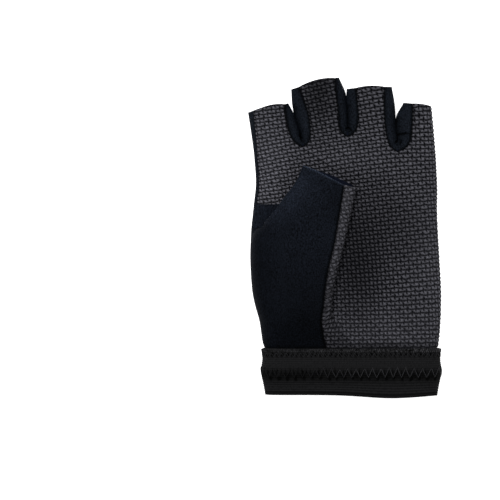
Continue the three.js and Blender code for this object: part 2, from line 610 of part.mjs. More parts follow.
// Adds the strip in a slot: down one finger's side, round the slot's bottom and up the next finger's side.
// Each section is half an ellipse that swells into the slot from the palm seam to the back seam.
function addFourchette(skin, slot, lowSide, highSide) {
  const places = [0, 0.25, 0.5, 0.75, 1];
  const leg = (side, swells) => FINGER_ROWS.map((share, r) =>
    ({ ends: side[r], swell: through(places, Object.values(swells), share) }));
  const stations = [...leg(lowSide, slot.lowLeg).reverse(), ...leg(highSide, slot.highLeg).slice(1)];
  const rows = stations.map(({ ends: [palm, back], swell }, i) => {
    const before = stations[Math.max(0, i - 1)].ends[0];
    const after = stations[Math.min(stations.length - 1, i + 1)].ends[0];
    const run = [after[0] - before[0], after[1] - before[1]];
    const size = Math.hypot(...run);
    return steps(COLUMNS.fourchette).map((t, k) => {
      if (k === 0) return palm;
      if (k === COLUMNS.fourchette) return back;
      const angle = t * Math.PI;
      const [x, y, z] = mixPoints(palm, back, (1 - Math.cos(angle)) / 2);
      const reach = (swell * Math.sin(angle)) / size;
      return [x - run[1] * reach, y + run[0] * reach, z];
    });
  });
  skin.grid(rows, () => slot.name);
}

// One row round the thumb beyond its crotch, from the crotch's row at share 0 to the mouth at share 1.
function thumbRow(share, first) {
  if (share === 0) return { ...first, valleyHigh: first.valley.slice(COLUMNS.valley) };
  const [edge, fold] = [along(THUMB_EDGE, share), along(THUMB_FOLD, share)];
  const wide = Math.hypot(fold[0] - edge[0], fold[1] - edge[1]);
  const unit = [(fold[0] - edge[0]) / wide, (fold[1] - edge[1]) / wide];
  const at = (across, z, beyond = 0) => [
    edge[0] + unit[0] * across - unit[1] * beyond,
    edge[1] + unit[1] * across + unit[0] * beyond,
    z,
  ];
  const length = Math.hypot(THUMB_EDGE.at(-1)[0] - CROTCH.x, THUMB_EDGE.at(-1)[1] - CROTCH.y);
  const top = HAND.at(-1).top;
  const low = PALM_UNDER_THUMB + 2 * VALLEY_RADIUS;
  const edgeRise = Math.sqrt(1 - Math.exp((-share * length) / THUMB_EDGE_RISE));
  const edgeZ = mix(CROTCH.z, THUMB_EDGE_HEIGHT, edgeRise);
  const lip = MOUTH_LIP.out * smooth((share - MOUTH_LIP.from) / (1 - MOUTH_LIP.from));
  const turnAt = wide - THUMB_TURN;
  const stripEnd = turnAt - STRIP_FLAT - STRIP_WIDENS * share;
  const { under, over } = THUMB_FLAT;
  const foldUp = (t) => bezier([0, edgeZ], [0, edgeZ - UNDER_HANDLES.edge], [under - UNDER_HANDLES.flat, low],
    [under, low], t);
  const foldDown = (t) => bezier([over, top], [over - OVER_HANDLES.flat, top], [0, edgeZ + OVER_HANDLES.edge],
    [0, edgeZ], t);
  return {
    valleyHigh: steps(COLUMNS.valley).map((t) => at(...foldUp(t))),
    facing: steps(COLUMNS.facing).map((t) =>
      at(mix(under, turnAt, t), mix(low, top - 2 * THUMB_TURN, t), lip * Math.sin(Math.PI * t))),
    turn: steps(COLUMNS.turn).map((t) => {
      const angle = Math.PI * (1 - t);
      return at(turnAt + THUMB_TURN * Math.sin(angle), top - THUMB_TURN * (1 - Math.cos(angle)));
    }),
    strip: steps(COLUMNS.strip).map((t) => at(mix(turnAt, stripEnd, t), top)),
    thumbTop: steps(COLUMNS.thumbTop).map((t) =>
      at(mix(stripEnd, over, t), top + thumbCrown(0, t))),
    shoulder: steps(COLUMNS.shoulder).map((t) => at(...foldDown(t))),
  };
}

// Which panel each group of columns belongs to
const PANEL_OF = { wrap: "back_panel", back: "back_panel", palm: "palm_panel", valley: "palm_panel",
  valleyLow: "palm_panel", valleyHigh: "palm_panel", facing: "palm_panel", turn: "palm_panel",
  web: "palm_panel", strip: "palm_panel", thumbTop: "thumb_panel", shoulder: "thumb_panel",
  side: "thumb_panel" };

function buildSkin() {
  const skin = new Skin();
  const lowerGroups = ["wrap", "back", "palm", "valley", "facing", "turn", "strip", "thumbTop", "shoulder",
    "side"];
  const lower = LOWER_ROWS.map(lowerRow);
  const lowerNames = groupColumns(lower[0], lowerGroups);
  skin.grid(lower.map((row) => joined(row, lowerGroups)), (_, c) => PANEL_OF[lowerNames[c]]);

  const crotchRow = lower.at(-1);
  const upperGroups = ["wrap", "back", "palm", "valleyLow", "web"];
  const upper = UPPER_ROWS.map((part) => upperRow(part, crotchRow));
  const upperNames = groupColumns(upper[0], upperGroups);
  skin.grid(upper.map((row) => joined(row, upperGroups)), (r, c) => {
    const inGusset = UPPER_ROWS[r] < WEB_PART && ["web", "wrap"].includes(upperNames[c]);
    return inGusset ? "thumb_web" : PANEL_OF[upperNames[c]];
  });

  const thumbGroups = ["valleyHigh", "facing", "turn", "strip", "thumbTop", "shoulder"];
  const thumb = THUMB_ROWS.map((share) => thumbRow(share, crotchRow));
  const thumbNames = groupColumns(thumb[0], thumbGroups);
  skin.grid(thumb.map((row) => joined(row, thumbGroups)), (_, c) => PANEL_OF[thumbNames[c]]);

  const ends = addFingers(skin, upper.at(-1));
  addFourchette(skin, SLOTS[0], ends.index.right, ends.middle.left);
  addFourchette(skin, SLOTS[1], ends.middle.right, ends.ring.left);
  addFourchette(skin, SLOTS[2], ends.ring.right, ends.little.left);
  return skin;
}

// The band: the outline of the panels inside it, moved out, drawn in below their end, its lower edge dipping.
function buildBand() {
  const skin = new Skin();
  const rows = BAND.map(({ y, swell }) => {
    const row = lowerRow(Math.max(y, PANEL_END));
    const backEnd = row.back.length - COLUMNS.little;
    const ring = [...row.back.filter((_, i) => i <= COLUMNS.little || i >= backEnd || i % 2 === 0),
      ...row.palm.slice(1), ...row.facing.slice(1, -1),
      ...row.thumbTop.slice(1), ...row.shoulder.slice(1), ...row.side.slice(1)];
    ring[ring.length - 1] = ring[0];
    const outward = (NEOPRENE + ELASTIC) / 2 + BAND_GAP + swell;
    const inner = ring.slice(0, -1);
    const moved = inner.map((point, i) => {
      const before = inner.at(i - 1);
      const after = inner[(i + 1) % inner.length];
      const run = [after[0] - before[0], after[2] - before[2]];
      const size = Math.hypot(...run);
      const x = point[0] + (run[1] / size) * outward;
      const dip = HEM.dip * Math.exp(-(((x - HEM.x) / HEM.reach) ** 2));
      const share = smooth((PANEL_END - y) / (PANEL_END - BAND.at(-1).y));
      return [x, y - dip * share, Math.max(point[2] - (run[0] / size) * outward, ELASTIC / 2)];
    });
    return [...moved, moved[0]];
  });
  skin.grid(rows.reverse(), () => "wrist_band");
  return skin;
}

const LOOKS = {
  palm_panel: { color: 0x303033, roughness: 0.85, metalness: 0 },
  back_panel: { color: 0x0f1114, roughness: 0.8, metalness: 0 },
  thumb_panel: { color: 0x0f131a, roughness: 0.8, metalness: 0 },
  thumb_web: { color: 0x0d1016, roughness: 0.8, metalness: 0 },
  fourchette_index_middle: { color: 0x14171c, roughness: 0.8, metalness: 0 },
  fourchette_middle_ring: { color: 0x14171c, roughness: 0.8, metalness: 0 },
  fourchette_ring_little: { color: 0x171b22, roughness: 0.8, metalness: 0 },
  wrist_band: { color: 0x17171a, roughness: 0.9, metalness: 0 },
};

const glove = new THREE.Group();
const skin = buildSkin();
const band = buildBand();
for (const [name, look] of Object.entries(LOOKS)) {
  const [source, wall] = name === "wrist_band" ? [band, ELASTIC] : [skin, NEOPRENE];
  const shape = source.panel(name, wall, source.directions());
  const mesh = new THREE.Mesh(shape, new THREE.MeshStandardMaterial(look));
  mesh.name = name;
  glove.add(mesh);
}

export default glove;
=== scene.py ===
"""A fingerless neoprene sport glove that lies palm up, its thumb folded over the palm.

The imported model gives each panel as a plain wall. This script makes the cloth that those walls stand for: the
basket-weave grip cloth, the jersey-faced neoprene, the ribbed elastic and the thread that sews them together.

Every surface is worked out in millimetres, from the same sizes as the walls, and put into its mesh in metres.
x runs from the thumb side to the little finger, y toward the fingertips, and z up.
"""

import logging
import math
from dataclasses import dataclass, field
from enum import Enum
from types import SimpleNamespace

import bpy
import numpy as np
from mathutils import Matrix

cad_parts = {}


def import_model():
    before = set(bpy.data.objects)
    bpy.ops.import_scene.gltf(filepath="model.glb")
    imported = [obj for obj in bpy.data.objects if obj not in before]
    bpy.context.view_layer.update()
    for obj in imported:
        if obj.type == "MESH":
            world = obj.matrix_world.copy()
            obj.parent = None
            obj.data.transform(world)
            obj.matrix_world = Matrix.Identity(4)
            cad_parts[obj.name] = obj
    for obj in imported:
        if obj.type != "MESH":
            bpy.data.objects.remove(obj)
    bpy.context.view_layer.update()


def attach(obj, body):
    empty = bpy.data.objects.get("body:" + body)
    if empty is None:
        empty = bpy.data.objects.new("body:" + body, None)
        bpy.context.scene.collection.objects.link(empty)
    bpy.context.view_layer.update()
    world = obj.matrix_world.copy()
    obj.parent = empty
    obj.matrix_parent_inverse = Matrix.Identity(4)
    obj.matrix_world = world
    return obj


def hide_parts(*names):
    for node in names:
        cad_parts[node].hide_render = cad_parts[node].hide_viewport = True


LOG = logging.getLogger("glove")
MM = 0.001
Array = np.ndarray
Object = bpy.types.Object
Material = bpy.types.Material
NodeTree = bpy.types.NodeTree
Socket = bpy.types.NodeSocket


# Numbers


def mix(a: Array, b: Array, t: Array) -> Array:
    """The value that lies the share t of the way from a to b."""
    return a + (b - a) * t


def smooth(value: Array) -> Array:
    """A soft step: 0 below 0, 1 above 1, and 3t^2 - 2t^3 between."""
    t = np.clip(value, 0, 1)
    return t * t * (3 - 2 * t)


def through(places: Array, values: Array, at: Array) -> Array:
    """A cubic through knots, whose slope at each knot is the slope between its two neighbours.

    Args:
        places: The knots' places, rising.
        values: The knots' values.
        at: The places where the cubic is wanted.

    Returns:
        The cubic's values, in the shape of at.
    """
    places, values = np.asarray(places, float), np.asarray(values, float)
    last = len(places) - 1
    k = np.arange(last + 1)
    low, high = np.maximum(k - 1, 0), np.minimum(k + 1, last)
    slopes = (values[high] - values[low]) / (places[high] - places[low])
    at = np.clip(at, places[0], places[-1])
    i = np.clip(np.searchsorted(places, at, side="left") - 1, 0, last - 1)
    width = places[i + 1] - places[i]
    t = (at - places[i]) / width
    bend = t * (1 - t) ** 2 * slopes[i] - t * t * (1 - t) * slopes[i + 1]
    return mix(values[i], values[i + 1], smooth(t)) + width * bend


def along(points: tuple, share: Array) -> tuple[Array, Array]:
    """The plan point that lies the given share of the way along the smooth curve through plan points.

    Args:
        points: The plan points, (x, y).
        share: Shares of the length of the straight lines that join them.

    Returns:
        The x and the y at each share.
    """
    x, y = np.array(points, float).T
    lengths = np.concatenate([[0.0], np.cumsum(np.hypot(np.diff(x), np.diff(y)))])
    at = np.asarray(share) * lengths[-1]
    return through(lengths, x, at), through(lengths, y, at)


def bezier(a: tuple, b: tuple, c: tuple, d: tuple, t: Array) -> tuple:
    """A cubic Bezier curve with the ends a and d and the handles b and c, one value for each coordinate."""
    weights = ((1 - t) ** 3, 3 * (1 - t) ** 2 * t, 3 * (1 - t) * t * t, t**3)
    return tuple(sum(w * p for w, p in zip(weights, corner)) for corner in zip(a, b, c, d))


def grid(x: Array, y: Array, z: Array) -> Array:
    """Points from three arrays that broadcast to rows by columns."""
    return np.stack(np.broadcast_arrays(x, y, z), axis=-1).astype(float)


def steps(count: int) -> Array:
    """Even shares from 0 to 1, as one row of count + 1 columns."""
    return np.linspace(0, 1, count + 1)[None, :]


def joined(*grids: Array) -> Array:
    """Grids side by side, of which each starts in the column where the one before it ends."""
    return np.concatenate([grids[0], *(later[:, 1:] for later in grids[1:])], axis=1)


@dataclass(frozen=True)
class Table:
    """A short table whose first column is a place and whose other columns are read between its rows."""

    names: str
    rows: tuple

    def at(self, place: Array) -> SimpleNamespace:
        """Every column at the given places, as named arrays in the shape of place."""
        columns = np.array(self.rows, float).T
        named = zip(self.names.split(), columns)
        return SimpleNamespace(**{name: through(columns[0], column, place) for name, column in named})


# The form of the glove, in millimetres

NEOPRENE = 2.0
ELASTIC = 1.5
HALF_WIDTH = 50.0
FLOOR_HEIGHT = 1.0
EDGE_HEIGHT = 5.4
PALM_HEIGHT = 10.0
PALM_CROWN = 0.7
THUMB_TOP_CROWN = 0.9
PALM_UNDER_THUMB = 7.5
FINGER_ARCH = 0.9
ARCH_POWER = 2.4
ARCH_STARTS = 0.6
SLOT_DIP = 0.5
SLOT_RISE = 1.3
CROWN_REACH = 20.0

# How the walls round off at their edges: how far in, and the power of the superellipse
PALM_ROUNDING = (13.0, 2.2)
BACK_ROUNDING = (9.0, 2.4)

# The band's top edge, the panels' lower ends inside it, and the lift of the back over the band's lower wall
BAND_TOP = -59.4
PANEL_END = -73.2
BAND_GAP = 0.5
BAND_LIFT = ELASTIC + BAND_GAP
LIFT_ENDS = -46.0

# The thumb fold: the valley beside the palm, the strip beside the fold, and the least length and overhang of
# its turn. The strip widens toward the mouth.
VALLEY_RADIUS = 1.3
STRIP_FLAT = 0.9
STRIP_WIDENS = 1.8
LEAST_TURN = 2.6
LEAST_OVERHANG = 0.5

# The thumb crotch, how the fold opens from it, and the handles of the curves that run down to it
CROTCH = (-43.4, 4.4, PALM_UNDER_THUMB + VALLEY_RADIUS)
CROTCH_OPENING = 6.0
CROTCH_FADE = 8.0
CROTCH_BLEND = 2.5
SHOULDER_OUT = 3.4
SHOULDER_HANDLE = (0.8, 3.2)
WEB_HANDLE = (2.0, 1.6)
WEB_END = 1.6
SIDE_POWER = 0.85
SIDE_SPLIT = math.radians(75)
WEB_PART = 0.32

# The thumb's weight on the palm starts above the band, at a y and over a reach. It fades past three lines, at
# the fold, the mouth and the thumb's upper edge: a point, the direction away from the thumb, and a reach.
PRESS_STARTS = (-50.0, 14.0)
PRESS_LIMITS = (
    (-8.2, -44.3, 1.0, -0.19, 15.0),
    (-22.2, 37.8, 0.36, 0.93, 9.0),
    (-43.4, 4.4, -0.844, 0.536, 9.0),
)

# Sections of the lower hand, up to the thumb crotch: its edges, the centres of the thumb fold's two turns and
# the radius of the second, the fold's skew, the thumb side's shoulder and top, and the lines toward the slots
HAND = Table(
    "y left right under over turn skew shoulder top slot1 slot2 slot3",
    (
        (-73.2, -41, 48, 4, -8, 2.4, 0, -29, 10.6, 12, 24, 36),
        (-59.4, -41, 48, 4, -9, 2.4, 0, -29, 10.7, 12, 24, 36),
        (-56.6, -42.4, 48.9, 3.6, -9.6, 2.4, 0, -29.5, 11.2, 11.7, 24, 36),
        (-44.3, -44.3, 50.1, -4, -11.6, 2.4, 0.5, -31.5, 15.6, 7, 20, 34),
        (-36, -46.6, 50.3, -11.3, -10.7, 2.5, 1, -34, 16.5, 2, 17, 32.5),
        (-27.9, -48.2, 50.3, -17.2, -10.1, 2.8, 2, -36.2, 16.6, -3, 14, 31),
        (-10.9, -49.2, 49.4, -30.4, -8.3, 3, 7.4, -37.6, 16.6, -13, 7, 29),
        (4.4, -48.7, 48.6, -42.1, -6, 3.1, 13.2, -39.5, 16.6, -21, 2, 27),
    ),
)

# Sections of the upper palm, from the thumb crotch at part 0 to the knuckle row at part 1
UPPER = Table(
    "part left right split slot1 slot2 slot3 sliver",
    (
        (0, -48.7, 48.6, -43.4, -21, 2, 27, 0),
        (0.32, -47.3, 48.2, -34.9, -21.8, 1.7, 27.3, 0.7),
        (0.6, -46.2, 48.3, -34.4, -22.2, 1.4, 27.6, 0.8),
        (1, -47.3, 47.6, -35.6, -22.2, 1.4, 27.6, 0.9),
    ),
)
KNUCKLES = Table("x y", ((-48, 45.5), (-22.2, 47.8), (1.4, 53.2), (27.6, 45), (48, 42)))
BACK_LINES = (-18.0, 3.5, 26.0)

INDEX_EDGE = ((-47.3, 45.5), (-48.9, 57), (-50.4, 66.6))
LITTLE_EDGE = ((47.6, 42), (46.6, 54), (45.2, 69.6))
INDEX_SLIVER_TIP = 2.0

THUMB_EDGE = ((-43.4, 4.4), (-41.6, 7.4), (-36.8, 13.2), (-31.6, 20.3), (-25.4, 28.4), (-21.6, 36.6))
THUMB_FOLD = ((-2.9, -8.8), (-1.2, -1.9), (0.1, 3.9), (2.8, 16.2), (5.2, 27.1))
THUMB_TURN = 3.1
THUMB_EDGE_HEIGHT = 13.2
THUMB_EDGE_RISE = 3.0

# Where the thumb's flats start beside its left edge, and how the bends down to that edge leave it and them
FLAT_UNDER = 4.2
FLAT_OVER = 4.8
UNDER_HANDLES = (1.4, 2.2)
OVER_HANDLES = (2.0, 2.8)

# How far the thumb's layers reach beyond its last row at the mouth: the upper one at its left edge, at the
# strip's seam and at the fold, and the lower one at its two ends and in its bulge
UPPER_LIP = (1.1, -1.4, -1.1)
LOWER_LIP = (1.1, 0.3, 0.6)
LIP_STARTS = 0.75

# The elastic band: how far it stands off the panels inside it, more than the least, at each distance down
BAND = Table(
    "down swell",
    ((58.9, 0.2), (61.5, 0.0), (65.0, 0.0), (67.4, 0.25), (69.8, 0.6), (72.2, 0.4), (74.6, 0.0), (78.6, -0.9),
     (83.4, -1.7)),
)
BAND_BOTTOM = BAND.rows[-1][0]
EDGING_RISE = 0.5

# The hem dips in a bell curve: how deep, at which x, and how far to each side
HEM_DIP = 1.7
HEM_X = 25.0
HEM_REACH = 20.0


class Finger(Enum):
    """The four fingers, in the order in which they lie from the little-finger edge."""

    LITTLE = "little"
    RING = "ring"
    MIDDLE = "middle"
    INDEX = "index"


TIP_BOW = {Finger.LITTLE: 0.4, Finger.RING: 0.8, Finger.MIDDLE: 1.4, Finger.INDEX: 1.4}


@dataclass(frozen=True)
class Slot:
    """The slot between two fingers: its two seams, how far its strip's legs swell, and its creases."""

    name: str
    low: tuple
    high: tuple
    low_leg: tuple
    high_leg: tuple
    creases: tuple

    def creased(self, points: Array) -> Array:
        """How deep the strip is creased at each point.

        Each crease is a groove along a line, (x, y, degrees, half length, half width, depth). Its cross
        section is a bell curve, and it ends as exp(-t^4) does.

        Args:
            points: Points of the strip, in an array of any shape.

        Returns:
            The lift of each point, which is negative in a crease.
        """
        lift = np.zeros(points.shape[:-1])
        for x, y, degrees, length, width, depth in self.creases:
            turn = math.radians(degrees)
            right, up = points[..., 0] - x, points[..., 1] - y
            run = right * math.cos(turn) + up * math.sin(turn)
            aside = up * math.cos(turn) - right * math.sin(turn)
            lift -= depth * np.exp(-((run / length) ** 4) - (aside / width) ** 2)
        return lift


LEG_PLACES = (0.0, 0.25, 0.5, 0.75, 1.0)
SLOTS = (
    Slot(
        "fourchette_index_middle",
        ((-22.2, 47.8), (-25.4, 49.4), (-28, 52.2), (-29.8, 56.4), (-31.2, 62.8), (-32.2, 70.6)),
        ((-22.2, 47.8), (-19.6, 49.6), (-18.4, 52.6), (-18.2, 58), (-19.6, 66.4), (-22.4, 74.6),
         (-24.3, 79.8)),
        (3.4, 4.2, 5, 3.9, 1.4),
        (3.4, 4.6, 6.6, 5.8, 3.4),
        ((-23.8, 52.4, -67, 2.4, 0.55, 0.5), (-22.9, 53.4, -48, 1.5, 0.5, 0.45),
         (-21.6, 50.6, 40, 1.2, 0.5, 0.35)),
    ),
    Slot(
        "fourchette_middle_ring",
        ((1.4, 53.2), (-1.6, 55), (-3.1, 58.6), (-3.7, 65), (-4.5, 74), (-5.7, 84.4)),
        ((1.4, 53.2), (4.6, 55), (6.6, 58.4), (7.3, 64), (6.7, 72), (5.9, 79.2)),
        (3.4, 4.3, 4.6, 4.2, 1.7),
        (3.4, 4.6, 5.4, 5, 3.9),
        ((0.8, 57.8, 32, 1.3, 0.5, 0.45), (2.8, 57.6, -40, 1.3, 0.5, 0.5), (2.4, 55.9, 30, 1.7, 0.5, 0.45)),
    ),
    Slot(
        "fourchette_ring_little",
        ((27.6, 45), (24.4, 47.4), (22.2, 52.6), (21, 60), (20.6, 70), (20.7, 79.8)),
        ((27.6, 45), (32, 47.2), (34.6, 51), (35.6, 58), (35.9, 64.6), (36, 71)),
        (3.6, 4.9, 5.3, 5, 3.4),
        (3.6, 6, 7.6, 7.6, 3.9),
        ((30.2, 54.8, 12, 2.3, 0.65, 0.5), (33.2, 55, -8, 1.6, 0.6, 0.3), (27.3, 51.2, 55, 2.2, 0.55, 0.5),
         (29.8, 50, 72, 1.9, 0.55, 0.45)),
    ),
)


def rounded(distance: Array, rounding: tuple[float, float]) -> Array:
    """How far the rounding at an edge has risen: a superellipse from 0 at the edge to 1 at its reach."""
    reach, power = rounding
    return (1 - (1 - np.clip(distance / reach, 0, 1)) ** power) ** (1 / power)


def pressed(x: Array, y: Array) -> Array:
    """The share of the thumb's weight at a point of the palm: 1 under the thumb, fading to 0 round it.

    It is the product of soft steps, one from the wrist and one for the distance past each limiting line.

    Args:
        x: Plan x.
        y: Plan y.

    Returns:
        The share at each point.
    """
    start, reach = PRESS_STARTS
    share = smooth((y - start) / reach)
    for line_x, line_y, away_x, away_y, reach in PRESS_LIMITS:
        share = share * smooth(1 - ((x - line_x) * away_x + (y - line_y) * away_y) / reach)
    return share


def palm_height(x: Array, y: Array, left: Array, right: Array, arch: Array | float = 0.0) -> Array:
    """Height of the middle of the palm's wall: a low crown that rounds down to its edges.

    Args:
        x: Plan x.
        y: Plan y.
        left: The x of the thumb-side edge there.
        right: The x of the little-finger edge there.
        arch: How far a finger's front stands above the crown.

    Returns:
        The height at each point, lower under the thumb's weight.
    """
    crest = PALM_HEIGHT + PALM_CROWN * (1 - (x / HALF_WIDTH) ** 2) + arch
    rise = rounded(x - left, PALM_ROUNDING) * rounded(right - x, PALM_ROUNDING)
    return mix(EDGE_HEIGHT, mix(crest, PALM_UNDER_THUMB, pressed(x, y)), rise)


def back_height(x: Array, y: Array, left: Array, right: Array, arch: Array | float = 0.0) -> Array:
    """Height of the middle of the back's wall: flat, rounded up to its edges and raised toward the band.

    Args:
        x: Plan x.
        y: Plan y.
        left: The x of the thumb-side edge there.
        right: The x of the little-finger edge there.
        arch: How far the back rises beside a slot.

    Returns:
        The height at each point.
    """
    lift = BAND_LIFT * (1 - smooth((y - BAND_TOP) / (LIFT_ENDS - BAND_TOP)))
    fall = rounded(x - left, BACK_ROUNDING) * rounded(right - x, BACK_ROUNDING)
    return mix(EDGE_HEIGHT, FLOOR_HEIGHT + lift + arch, fall)


def between_slots(t: Array) -> Array:
    """How far a finger's front has risen between two slots, from 0 at each seam to 1 in the middle."""
    return 1 - np.abs(2 * t - 1) ** ARCH_POWER


def beside_slot(t: Array) -> Array:
    """How far an outer finger's front has risen, from 0 at its one slot to 1 at its outer edge."""
    return 1 - (1 - t) ** ARCH_POWER


@dataclass(frozen=True)
class Columns:
    """How many columns of the surface lie across each stretch of it."""

    little: int = 4
    ring: int = 4
    middle: int = 4
    index: int = 4
    valley: int = 2
    facing: int = 2
    turn: int = 2
    strip: int = 1
    thumb_top: int = 1
    shoulder: int = 1
    side: int = 2
    wrap: int = 4


class LowerHand:
    """The surface round the hand below the thumb crotch, where the thumb side is folded over the palm.

    Going round from the little-finger edge it crosses the palm, turns up and back over itself at the valley,
    runs out to the fold, turns again and comes back as the thumb's upper side.
    """

    def __init__(self, rows: Array, columns: Columns) -> None:
        """Works out the sections of the rows.

        Args:
            rows: The y of each row.
            columns: How many columns each stretch has.
        """
        self.columns = columns
        self.y = np.asarray(rows, float)[:, None]
        self.at = HAND.at(self.y)
        at = self.at
        depth = CROTCH[1] - self.y
        opening = np.sqrt(CROTCH_OPENING * depth * np.exp(-depth / CROTCH_FADE))
        self.under = CROTCH[0] + np.hypot(opening, at.under - VALLEY_RADIUS - CROTCH[0]) + VALLEY_RADIUS
        self.far_left = at.left - HALF_WIDTH
        self.low = palm_height(self.under, self.y, self.far_left, at.right)
        across = at.over - self.under
        up = at.top - self.low - VALLEY_RADIUS - at.turn
        radii = VALLEY_RADIUS + at.turn
        self.run = np.sqrt(across**2 + up**2 - radii**2)
        bend = np.pi - np.arctan2(up, across) + np.arctan2(radii, self.run)
        self.bend = np.where(bend > 1.5 * np.pi, bend - 2 * np.pi, bend)
        self.whole = radii * self.bend + self.run
        self.crotch = 1 - np.sqrt(1 - np.exp(-depth / CROTCH_BLEND))
        quarter = np.minimum(self.bend, np.pi / 2)
        self.to_tip = VALLEY_RADIUS * quarter
        self.to_fold = self.whole - at.turn * quarter
        self.fold_x = at.over + np.maximum(at.turn * np.sin(quarter), LEAST_OVERHANG)
        self.near_x = mix(self.side_wall(SIDE_SPLIT)[0], CROTCH[0], self.crotch)

    def side_wall(self, angle: Array) -> tuple[Array, Array]:
        """The thumb side's wall: a superellipse quarter from the shoulder at angle 0 down to the edge."""
        at = self.at
        x = at.shoulder - (at.shoulder - at.left) * np.sin(angle) ** SIDE_POWER
        return x, EDGE_HEIGHT + (at.top - EDGE_HEIGHT) * np.clip(np.cos(angle), 0, 1) ** SIDE_POWER

    def palm(self) -> Array:
        """The palm, from the little-finger edge to where the valley starts."""
        x = palm_columns(self.at, self.under, self.columns)
        return grid(x, self.y, palm_height(x, self.y, self.far_left, self.at.right))

    def on_fold(self, travelled: Array) -> Array:
        """Points of the fold, whose section is the valley's arc, a straight run and the fold's own arc.

        Args:
            travelled: How far along the section each point lies.

        Returns:
            The points, whose rows run lower from the valley's tip to the fold.
        """
        at = self.at
        first = np.minimum(travelled / VALLEY_RADIUS, self.bend)
        last = np.minimum((self.whole - travelled) / at.turn, self.bend)
        share = np.clip((travelled - VALLEY_RADIUS * self.bend) / self.run, 0, 1)
        x = mix(self.under - VALLEY_RADIUS * np.sin(first), at.over + at.turn * np.sin(last), share)
        z = mix(self.low + VALLEY_RADIUS * (1 - np.cos(first)), at.top - at.turn * (1 - np.cos(last)), share)
        skew = np.clip((travelled - self.to_tip) / (self.to_fold - self.to_tip), 0, 1)
        return grid(x, self.y - at.skew * skew, z)

    def fold(self) -> Array:
        """The valley, the facing that lies on the palm, and the turn at the fold."""
        count = self.columns
        valley_end = np.maximum(VALLEY_RADIUS * self.bend, LEAST_TURN)
        turn_start = self.whole - np.maximum(self.at.turn * self.bend, LEAST_TURN)
        travelled = joined(
            valley_end * steps(2 * count.valley),
            mix(valley_end, turn_start, steps(count.facing)),
            mix(turn_start, self.whole, steps(count.turn)),
        )
        points = self.on_fold(travelled)
        points[-1, count.valley] = CROTCH
        return points

    def skewed(self, x: Array) -> Array:
        """The y of a point of the thumb's upper side, where the rows run lower toward the fold."""
        return self.y - self.at.skew * np.clip((x - self.near_x) / (self.fold_x - self.near_x), 0, 1)

    def strip(self) -> Array:
        """The flat of the grip cloth between the fold and its seam on the thumb's upper side."""
        x = mix(self.at.over, self.at.over - STRIP_FLAT, steps(self.columns.strip))
        return grid(x, self.skewed(x), self.at.top)

    def thumb_top(self) -> Array:
        """The thumb's upper side, from the strip's seam to the shoulder."""
        t = steps(self.columns.thumb_top)
        x = mix(self.at.over - STRIP_FLAT, self.at.shoulder, t)
        return grid(x, self.skewed(x), self.at.top + thumb_crown(self.y, t))

    def shoulder(self) -> Array:
        """The bend from the thumb's upper side into its side wall, which at the crotch folds down to it."""
        t = steps(self.columns.shoulder)
        at = self.at
        wall = self.side_wall(SIDE_SPLIT * t)
        back, up = SHOULDER_HANDLE
        down = bezier((at.shoulder, at.top), (at.shoulder - SHOULDER_OUT, at.top),
                      (CROTCH[0] - back, CROTCH[2] + up), (CROTCH[0], CROTCH[2]), t)
        x, z = mix(wall[0], down[0], self.crotch), mix(wall[1], down[1], self.crotch)
        return grid(x, self.skewed(x), z)

    def side(self) -> Array:
        """The side wall down to the edge, which at the crotch runs down the web."""
        t = steps(self.columns.side)
        at = self.at
        wall = self.side_wall(mix(SIDE_SPLIT, np.pi / 2, t))
        back, below = WEB_HANDLE
        down = bezier((CROTCH[0], CROTCH[2]), (CROTCH[0] - back, CROTCH[2] - below),
                      (at.left, EDGE_HEIGHT + WEB_END), (at.left, EDGE_HEIGHT), t)
        return grid(mix(wall[0], down[0], self.crotch), self.y, mix(wall[1], down[1], self.crotch))

    def back(self) -> Array:
        """The back, from the thumb-side edge to the little-finger edge."""
        share = (self.y - PANEL_END) / (CROTCH[1] - PANEL_END)
        top = UPPER.at(0.0)
        ends = (top.slot1, top.slot2, top.slot3)
        lines = [mix(start, end, share) for start, end in zip(BACK_LINES, ends)]
        x = back_columns(self.at.left, lines, self.at.right, self.columns)
        return grid(x, self.y, back_height(x, self.y, self.at.left, self.at.right))


def palm_columns(at: SimpleNamespace, end: Array, count: Columns) -> Array:
    """Plan x of the palm's columns, crowded toward the little-finger edge, where the surface turns down.

    Args:
        at: The rows' sections.
        end: The x at which each row ends on the thumb side.
        count: How many columns each stretch has.

    Returns:
        The x, rows by columns.
    """
    return joined(
        mix(at.slot3, at.right, np.sin(steps(count.little)[:, ::-1] * np.pi / 2)),
        mix(at.slot3, at.slot2, steps(count.ring)),
        mix(at.slot2, at.slot1, steps(count.middle)),
        mix(at.slot1, end, steps(count.index)),
    )


def back_columns(left: Array, lines: list, right: Array, count: Columns) -> Array:
    """Plan x of the back's columns, crowded toward both edges.

    Args:
        left: The x of the thumb-side edge in each row.
        lines: The x of the three lines toward the slots, from the thumb side.
        right: The x of the little-finger edge in each row.
        count: How many columns each stretch has.

    Returns:
        The x, rows by columns.
    """
    return joined(
        mix(left, lines[0], 1 - np.cos(steps(count.little) * np.pi / 2)),
        mix(lines[0], lines[1], steps(count.middle)),
        mix(lines[1], lines[2], steps(count.ring)),
        mix(lines[2], right, np.sin(steps(count.little) * np.pi / 2)),
    )


def thumb_crown(y: Array, t: Array) -> Array:
    """A low rise of the thumb's upper side between the strip and the shoulder, half a sine wave."""
    return THUMB_TOP_CROWN * smooth((y - LIFT_ENDS) / CROWN_REACH) * np.sin(np.pi * t)


